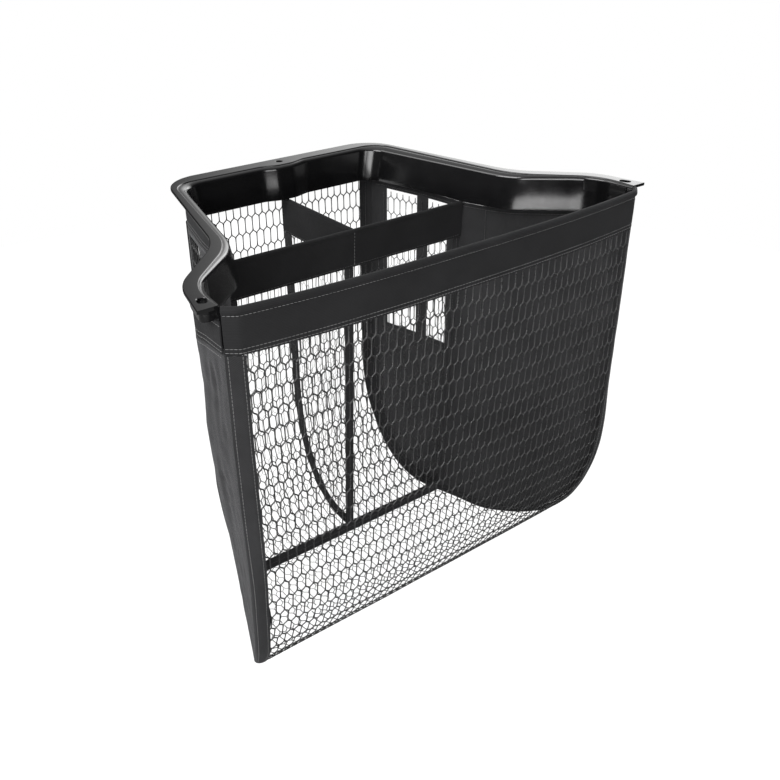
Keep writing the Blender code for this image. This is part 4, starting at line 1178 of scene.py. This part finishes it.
def folded_band(name, node_name, line, normals, lean, seed):
    """Webbing folded over: a closed section with a rounded top swept along a line.
    line holds (x, y) at the top edge, lean(z) how far the section shifts in y."""
    top, low, half = DIVIDER_TOP, DIVIDER_TOP - DIVIDER_BAND, DIVIDER_BAND_T / 2
    along = np.concatenate([[0], np.cumsum(np.linalg.norm(np.diff(line, axis=0), axis=1))])
    zs = np.concatenate([[low, low + 0.3], np.arange(low + 1.0, top - 5.0, 1.0)])
    rows = (low + 2.4,)

    def thick(z):
        h = half - 0.8 * math.exp(-((z - low) / 0.4) ** 2)
        for r in rows:
            h -= 0.32 * math.exp(-((z - r) / 0.9) ** 2)
        return h

    side = [(thick(z), z) for z in zs]
    roll = [(half * 1.15 * math.cos(math.radians(a)) * 1.25, top - 2.6 + 2.6 * math.sin(math.radians(a)))
            for a in np.linspace(-40, 220, 13)]
    section = side + roll + [(-o, z) for o, z in side[::-1]]
    o, z = np.array([s[0] for s in section]), np.array([s[1] for s in section])
    n, m = len(line), len(section)
    ripple = 0.30 * waves(along[:, None], z[None, :] * 2, seed, 52.0) * smooth_step((along / 12.0))[:, None]
    ripple = ripple * smooth_step((along[-1] - along) / 12.0)[:, None]
    pts = np.zeros((n, m, 3))
    off = o[None, :] + ripple
    pts[:, :, 0] = line[:, 0, None] + normals[:, 0, None] * off
    pts[:, :, 1] = line[:, 1, None] + normals[:, 1, None] * off
    pts[:, :, 2] = z[None, :]
    pts = lean(pts)
    lay = np.zeros((n, m, 3))
    lay[:, :, 0] = along[:, None]
    lay[:, :, 1] = np.concatenate([[0], np.cumsum(np.hypot(np.diff(o), np.diff(z)))])[None, :]
    i, j = np.meshgrid(np.arange(n - 1), np.arange(m), indexing="ij")
    q = (j + 1) % m
    quads = np.stack([i * m + j, i * m + q, (i + 1) * m + q, (i + 1) * m + j], axis=2).reshape(-1, 4)
    ob = new_object(name, pts.reshape(-1, 3), quads, WEB_MAT, lay.reshape(-1, 3),
                    ngons=[list(range(m))[::-1], [(n - 1) * m + k for k in range(m)]])
    fix_normals(ob)
    ob.data.set_sharp_from_angle(angle=math.radians(60))
    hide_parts(node_name)
    for r in rows:
        for s in (1.0, -1.0):
            path = np.column_stack([line + normals * s * (thick(r) + 0.10), np.full(n, r)])[:, None, :]
            path = lean(path)[:, 0]
            sew(path[1:-1], np.column_stack([normals * s, np.zeros(n)])[1:-1], into=DARK_STITCHES)


def plane_strip(name, node_name, xs, zs, seed, thickness=BINDING_T, centre=True):
    """Flat tape lying in the long divider's plane; xs may follow z."""
    zz = np.asarray(zs, float)
    cols = []
    for f in np.linspace(0, 1, 7 if len(xs) == 2 else 60):
        a, b = xs[0], xs[-1]
        ax = np.array([a(z) if callable(a) else a for z in zz])
        bx = np.array([b(z) if callable(b) else b for z in zz])
        x = ax + (bx - ax) * f
        cols.append(np.column_stack([x, [long_y(z) for z in zz], zz]))
    g = np.array(cols)
    g[:, :, 1] += 0.15 * waves(g[:, :, 0] * 1.5, g[:, :, 2], seed, 34.0)
    ob = cloth(name, g, thickness, TAPE_MAT)
    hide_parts(node_name)
    if centre:
        if len(xs) == 2:
            path = g[3]
        else:
            path = g[:, g.shape[1] // 2]
        n = np.tile(np.array([0.0, -1.0, 0.0]), (len(path), 1))
        sew(path, n, rise=thickness / 2 + 0.05, both=thickness, into=DARK_STITCHES)


def build_long_divider():
    low = DIVIDER_TOP - DIVIDER_BAND
    w = long_end(-45.0)
    xs = np.linspace(-w, w, 110)
    line = np.column_stack([xs, np.full(len(xs), LONG_TOP_Y)])
    normals = np.tile(np.array([0.0, -1.0]), (len(xs), 1))

    def lean(p):
        p = p.copy()
        p[..., 1] += (LONG_LOW_Y - LONG_TOP_Y) * (DIVIDER_TOP - p[..., 2]) / (DIVIDER_TOP - BOTTOM_Z)
        return p

    folded_band("long_divider_webbing", "long_divider_band", line, normals, lean, 31)
    # upright seam in the band at its middle
    zz = np.linspace(low + 2.0, DIVIDER_TOP - 3.0, 12)
    path = np.column_stack([np.full(12, 0.6), [long_y(z) for z in zz], zz])
    sew(path, np.tile([0.0, -1.0, 0.0], (12, 1)), rise=DIVIDER_BAND_T / 2 + 0.1, both=DIVIDER_BAND_T)

    net_top = low - GAP
    bind_low = BOTTOM_Z - BOTTOM_CORNER + NET_T / 2 + GAP
    net_low = bind_low + BOTTOM_BINDING_W + GAP
    zs = np.linspace(net_top, net_low, 60)
    inner = lambda z: long_end(z) - SIDE_BINDING_W - GAP
    plane_strip("divider_joint_tape", "divider_joint_binding", (-JOINT_W, 0.0), zs, 32)
    zs_side = np.linspace(net_top, BOTTOM_Z + 3.0, 62)
    plane_strip("long_divider_right_tape", "long_divider_right_binding",
                (lambda z: long_end(z) - SIDE_BINDING_W, long_end), zs_side, 33)
    plane_strip("long_divider_left_tape", "long_divider_left_binding",
                (lambda z: -long_end(z), lambda z: -long_end(z) + SIDE_BINDING_W), zs_side, 34)
    w = long_end(bind_low) - SIDE_BINDING_W - GAP
    plane_strip("long_divider_bottom_tape", "long_divider_bottom_binding",
                (-w, 0.0, w), np.linspace(net_low - GAP, bind_low, 9), 35, BINDING_T + 0.2)
    zt = np.linspace(net_top + 3.0, net_low - 4.0, 80)
    wt = np.array([inner(z) for z in zt])

    def place(u, v):
        y = LONG_TOP_Y + (LONG_LOW_Y - LONG_TOP_Y) * (DIVIDER_TOP - v) / (DIVIDER_TOP - BOTTOM_Z)
        y = y + 0.5 * waves(u, v, 36, 80.0)
        return np.stack([u, y, v], axis=1), np.tile([0.0, -1.0, 0.0], (len(u), 1))

    reach = lambda v: np.interp(-v, -zt, wt)
    for name, lo, hi in (("right", 0.0, 1.0), ("left", -1.0, 0.0)):
        def inside(u, v, lo=lo, hi=hi):
            r = reach(v) + 1.6
            a = -1.6 if lo == 0.0 else -r
            b = r if hi == 1.0 else -JOINT_W + 1.6
            return (u > a) & (u < b) & (v < net_top + 2.5) & (v > net_low - 3.0)
        lines = net_lines(place, -160.0, 160.0, net_low - 5, net_top + 5, inside, 37, 1.5, 6.0, wander=0.6, gauge=0.42)
        ob = tubes(f"long_divider_{name}_threads", lines, NET_MAT)
        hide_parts(f"long_divider_net_{name}")


def build_short_divider():
    low = DIVIDER_TOP - DIVIDER_BAND
    front = LONG_TOP_Y + DIVIDER_BAND_T / 2 * 1.15 + GAP
    back = BACK_Y + BACK_CORNER - NET_T / 2 - GAP
    ys = np.linspace(front, back, 56)
    line = np.column_stack([np.zeros(len(ys)), ys])
    normals = np.tile(np.array([-1.0, 0.0]), (len(ys), 1))

    def lean(p):
        p = p.copy()
        shift = (LONG_LOW_Y - LONG_TOP_Y) * (DIVIDER_TOP - p[..., 2]) / (DIVIDER_TOP - BOTTOM_Z)
        k = np.clip((back - p[..., 1]) / (back - front), 0, 1)
        p[..., 1] += shift * k
        return p

    folded_band("short_divider_webbing", "short_divider_band", line, normals, lean, 41)
    top = low - GAP
    s_back = PROFILE_LENGTH - (BAND_BOTTOM - GAP - top)
    s_front = profile_s(long_y(BOTTOM_Z) + BINDING_T / 2 + GAP + 1.0)
    s = np.linspace(s_back, s_front, 110)
    p, n = wrap(np.zeros(len(s)), s)
    a = NET_T / 2 + 1.1
    ks = np.array([0.0, 0.06, 0.25, 0.5, 0.75, 0.94, 1.0])
    g = p[:, None, :] - n[:, None, :] * (a + CURVED_BINDING_W * ks)[None, :, None]
    for k in range(len(ks)):
        g[0, k, 2] = top
        g[:, k, 2] = np.minimum(g[:, k, 2], top)
        g[-1, k, 1] = long_y(g[-1, k, 2]) + BINDING_T / 2 + GAP
        limit = np.array([long_y(z) for z in g[:, k, 2]]) + BINDING_T / 2 + GAP
        g[:, k, 1] = np.maximum(g[:, k, 1], limit)
    ok = np.ones(len(s), bool)
    for i in range(1, len(s)):
        if np.linalg.norm(g[i] - g[i - 1], axis=1).min() < 0.05:
            ok[i] = i == len(s) - 1
    g = g[ok]
    g[:, :, 0] += 0.12 * waves(np.arange(len(g))[:, None] * 4.0, ks[None, :] * 14.0, 42, 30.0)
    ob = cloth("short_divider_curved_tape", g, BINDING_T, TAPE_MAT)
    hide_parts("short_divider_curved_binding")
    for k in (3,):
        path = g[1:-1, k]
        sew(path, np.tile([-1.0, 0.0, 0.0], (len(path), 1)), rise=BINDING_T / 2 + 0.05, both=BINDING_T, into=DARK_STITCHES)
    edge = g[:, -1]
    ez, ey = edge[:, 2], edge[:, 1]

    def place(u, v):
        return (np.stack([0.35 * waves(u, v, 43, 70.0), u, v], axis=1),
                np.tile([-1.0, 0.0, 0.0], (len(u), 1)))

    order = np.argsort(ey)
    foot = lambda y: np.interp(y, ey[order], ez[order])
    upright_y = np.interp(0, [0, 1], [ey.max(), ey.max()])

    def inside(u, v):
        y_wall = np.interp(-v, -ez[np.argsort(-ez)], ey[np.argsort(-ez)]) if False else None
        lo = foot(u)
        yb = np.interp(v, ez[::-1], ey[::-1])
        front_y = np.array([long_y(z) for z in v]) + 1.0
        return (u > front_y) & (v < top + 2.5) & (v > lo - 3.0) & (u < yb + 3.0)

    lines = net_lines(place, LONG_TOP_Y - 5, BACK_Y + 10, BOTTOM_Z, top + 10, inside, 44, 3.0, 2.0, wander=0.6, gauge=0.5)
    ob = tubes("short_divider_threads", lines, NET_MAT)
    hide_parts("short_divider_net")


# ---------------------------------------------------------------------- build
for o in frame["nodes"].values():
    o.data.materials.clear()
    o.data.materials.append(WEB_MAT)

build_rim()
build_front_band()
build_skirt_bands()
build_wrap_net()
build_bindings()
build_gussets()
build_long_divider()
build_short_divider()
for name, mat, rows in (("seam_stitches", SEAM_MAT, STITCHES), ("inner_seam_stitches", DARK_SEAM_MAT, DARK_STITCHES)):
    build_stitches(name, mat, rows)
for piece in PIECES:
    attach(piece, BODY)


# ---------------------------------------------------------------------- stage
KEY_GLOW = (30.0, 18.0, 42.0, 12.0, 2.5, 3.2)
TOP_GLOW = (60.0, 88.0, 70.0, 25.0, 1.5, 1.3)
SIDE_GLOW = (150.0, 42.0, 17.0, 8.0, 1.0, 5.0)
LOW_GLOW = (140.0, -9.0, 22.0, 6.0, 1.3, 6.5)
LIP_GLOW = (10.0, 13.0, 25.0, 10.0, 1.5, 4.0)
ROOM = 0.05
SOFTBOXES = [("front_softbox", -131.0, -3.0, 2.6, 0.95, 1.9, 9.0), ("front_fill", -115.0, -2.0, 2.6, 0.62, 1.9, 6.5), ("front_strip", -98.0, 0.0, 2.6, 0.42, 1.8, 7.5),
             ("left_softbox", 193.0, 38.0, 2.8, 1.6, 1.4, 10.0)]





def area(name, where, target, size, power, size_y=None, colour=(1, 1, 1)):
    l = bpy.data.lights.new(name, "AREA")
    l.shape = "RECTANGLE" if size_y else "SQUARE"
    l.size = size
    if size_y:
        l.size_y = size_y
    l.energy = power
    l.color = colour
    o = bpy.data.objects.new(name, l)
    bpy.context.scene.collection.objects.link(o)
    o.location = where
    return o


def aim(o, target):
    from mathutils import Vector
    o.rotation_euler = (Vector(target) - o.location).to_track_quat("-Z", "Y").to_euler()


sc = bpy.context.scene
floor_z = CAD_BOX[0][2] - 0.16
me = bpy.data.meshes.new("floor")
R = 1.7
ring = [(R * math.cos(2 * math.pi * k / 72), R * math.sin(2 * math.pi * k / 72), floor_z) for k in range(72)]
me.from_pydata(ring, [], [list(range(72))])
floor = bpy.data.objects.new("floor", me)
sc.collection.objects.link(floor)
fm = bpy.data.materials.new("pale_floor")
fm.use_nodes = True
fs = fm.node_tree.nodes["Principled BSDF"]
fs.inputs["Base Color"].default_value = (0.12, 0.12, 0.12, 1)
fs.inputs["Roughness"].default_value = 0.9
fs.inputs["Specular IOR Level"].default_value = 0.1
fs.inputs["Emission Color"].default_value = (1, 1, 1, 1)
looked = node(fm.node_tree, "ShaderNodeLightPath").outputs["Is Camera Ray"]
fm.node_tree.links.new(spread(fm.node_tree, looked, 0.07, 0.93, 0.0, 1.0), fs.inputs["Emission Strength"])
me.materials.append(fm)

# studio: white behind the object, a dim room with one wide soft glow from the back right
world = bpy.data.worlds.new("studio")
sc.world = world
world.use_nodes = True
wt = world.node_tree
wt.nodes.clear()
coord = node(wt, "ShaderNodeTexCoord")


def glow(azimuth, elevation, wide, narrow, power, strength):
    a, e = math.radians(azimuth), math.radians(elevation)
    dot = node(wt, "ShaderNodeVectorMath", operation="DOT_PRODUCT")
    wt.links.new(coord.outputs["Generated"], dot.inputs[0])
    dot.inputs[1].default_value = (math.cos(e) * math.cos(a), math.cos(e) * math.sin(a), math.sin(e))
    lo, hi = math.cos(math.radians(wide)), math.cos(math.radians(narrow))
    t = spread(wt, dot.outputs["Value"], 0.0, 1.0, lo, hi)
    return math_node(wt, "MULTIPLY", math_node(wt, "POWER", t, power), strength)


room = math_node(wt, "ADD", glow(*KEY_GLOW), glow(*TOP_GLOW))
for spec in (SIDE_GLOW, LOW_GLOW, LIP_GLOW):
    room = math_node(wt, "ADD", room, glow(*spec))
room = math_node(wt, "ADD", room, ROOM)
dim = node(wt, "ShaderNodeBackground")
wt.links.new(room, dim.inputs["Strength"])
white = node(wt, "ShaderNodeBackground")
white.inputs["Strength"].default_value = 1.0
white.inputs["Color"].default_value = (1, 1, 1, 1)
dim.inputs["Color"].default_value = (1, 1, 1, 1)
seen = node(wt, "ShaderNodeLightPath")
mix = node(wt, "ShaderNodeMixShader")
wt.links.new(seen.outputs["Is Camera Ray"], mix.inputs[0])
wt.links.new(dim.outputs[0], mix.inputs[1])
wt.links.new(white.outputs[0], mix.inputs[2])
end = node(wt, "ShaderNodeOutputWorld")
wt.links.new(mix.outputs[0], end.inputs["Surface"])


def softbox(name, azimuth, elevation, distance, width, height, radiance):
    a, e = math.radians(azimuth), math.radians(elevation)
    l = area(name, (distance * math.cos(e) * math.cos(a), distance * math.cos(e) * math.sin(a),
                    distance * math.sin(e)), (0, 0, -0.02), width, radiance * math.pi * width * height, height)
    aim(l, (0, 0, -0.02))
    return l


for spec in SOFTBOXES:
    softbox(*spec)

cam = bpy.data.cameras.new("camera")
cam.sensor_width = 36.0
cam.lens = 41.86
cam.clip_start = 0.01
camera = bpy.data.objects.new("camera", cam)
camera.location = (-0.50315, -0.7010, 0.2773)
camera.rotation_euler = (math.radians(60.1), 0.0, math.radians(-37.9))
sc.collection.objects.link(camera)
sc.camera = camera
sc.view_settings.view_transform = "Standard"
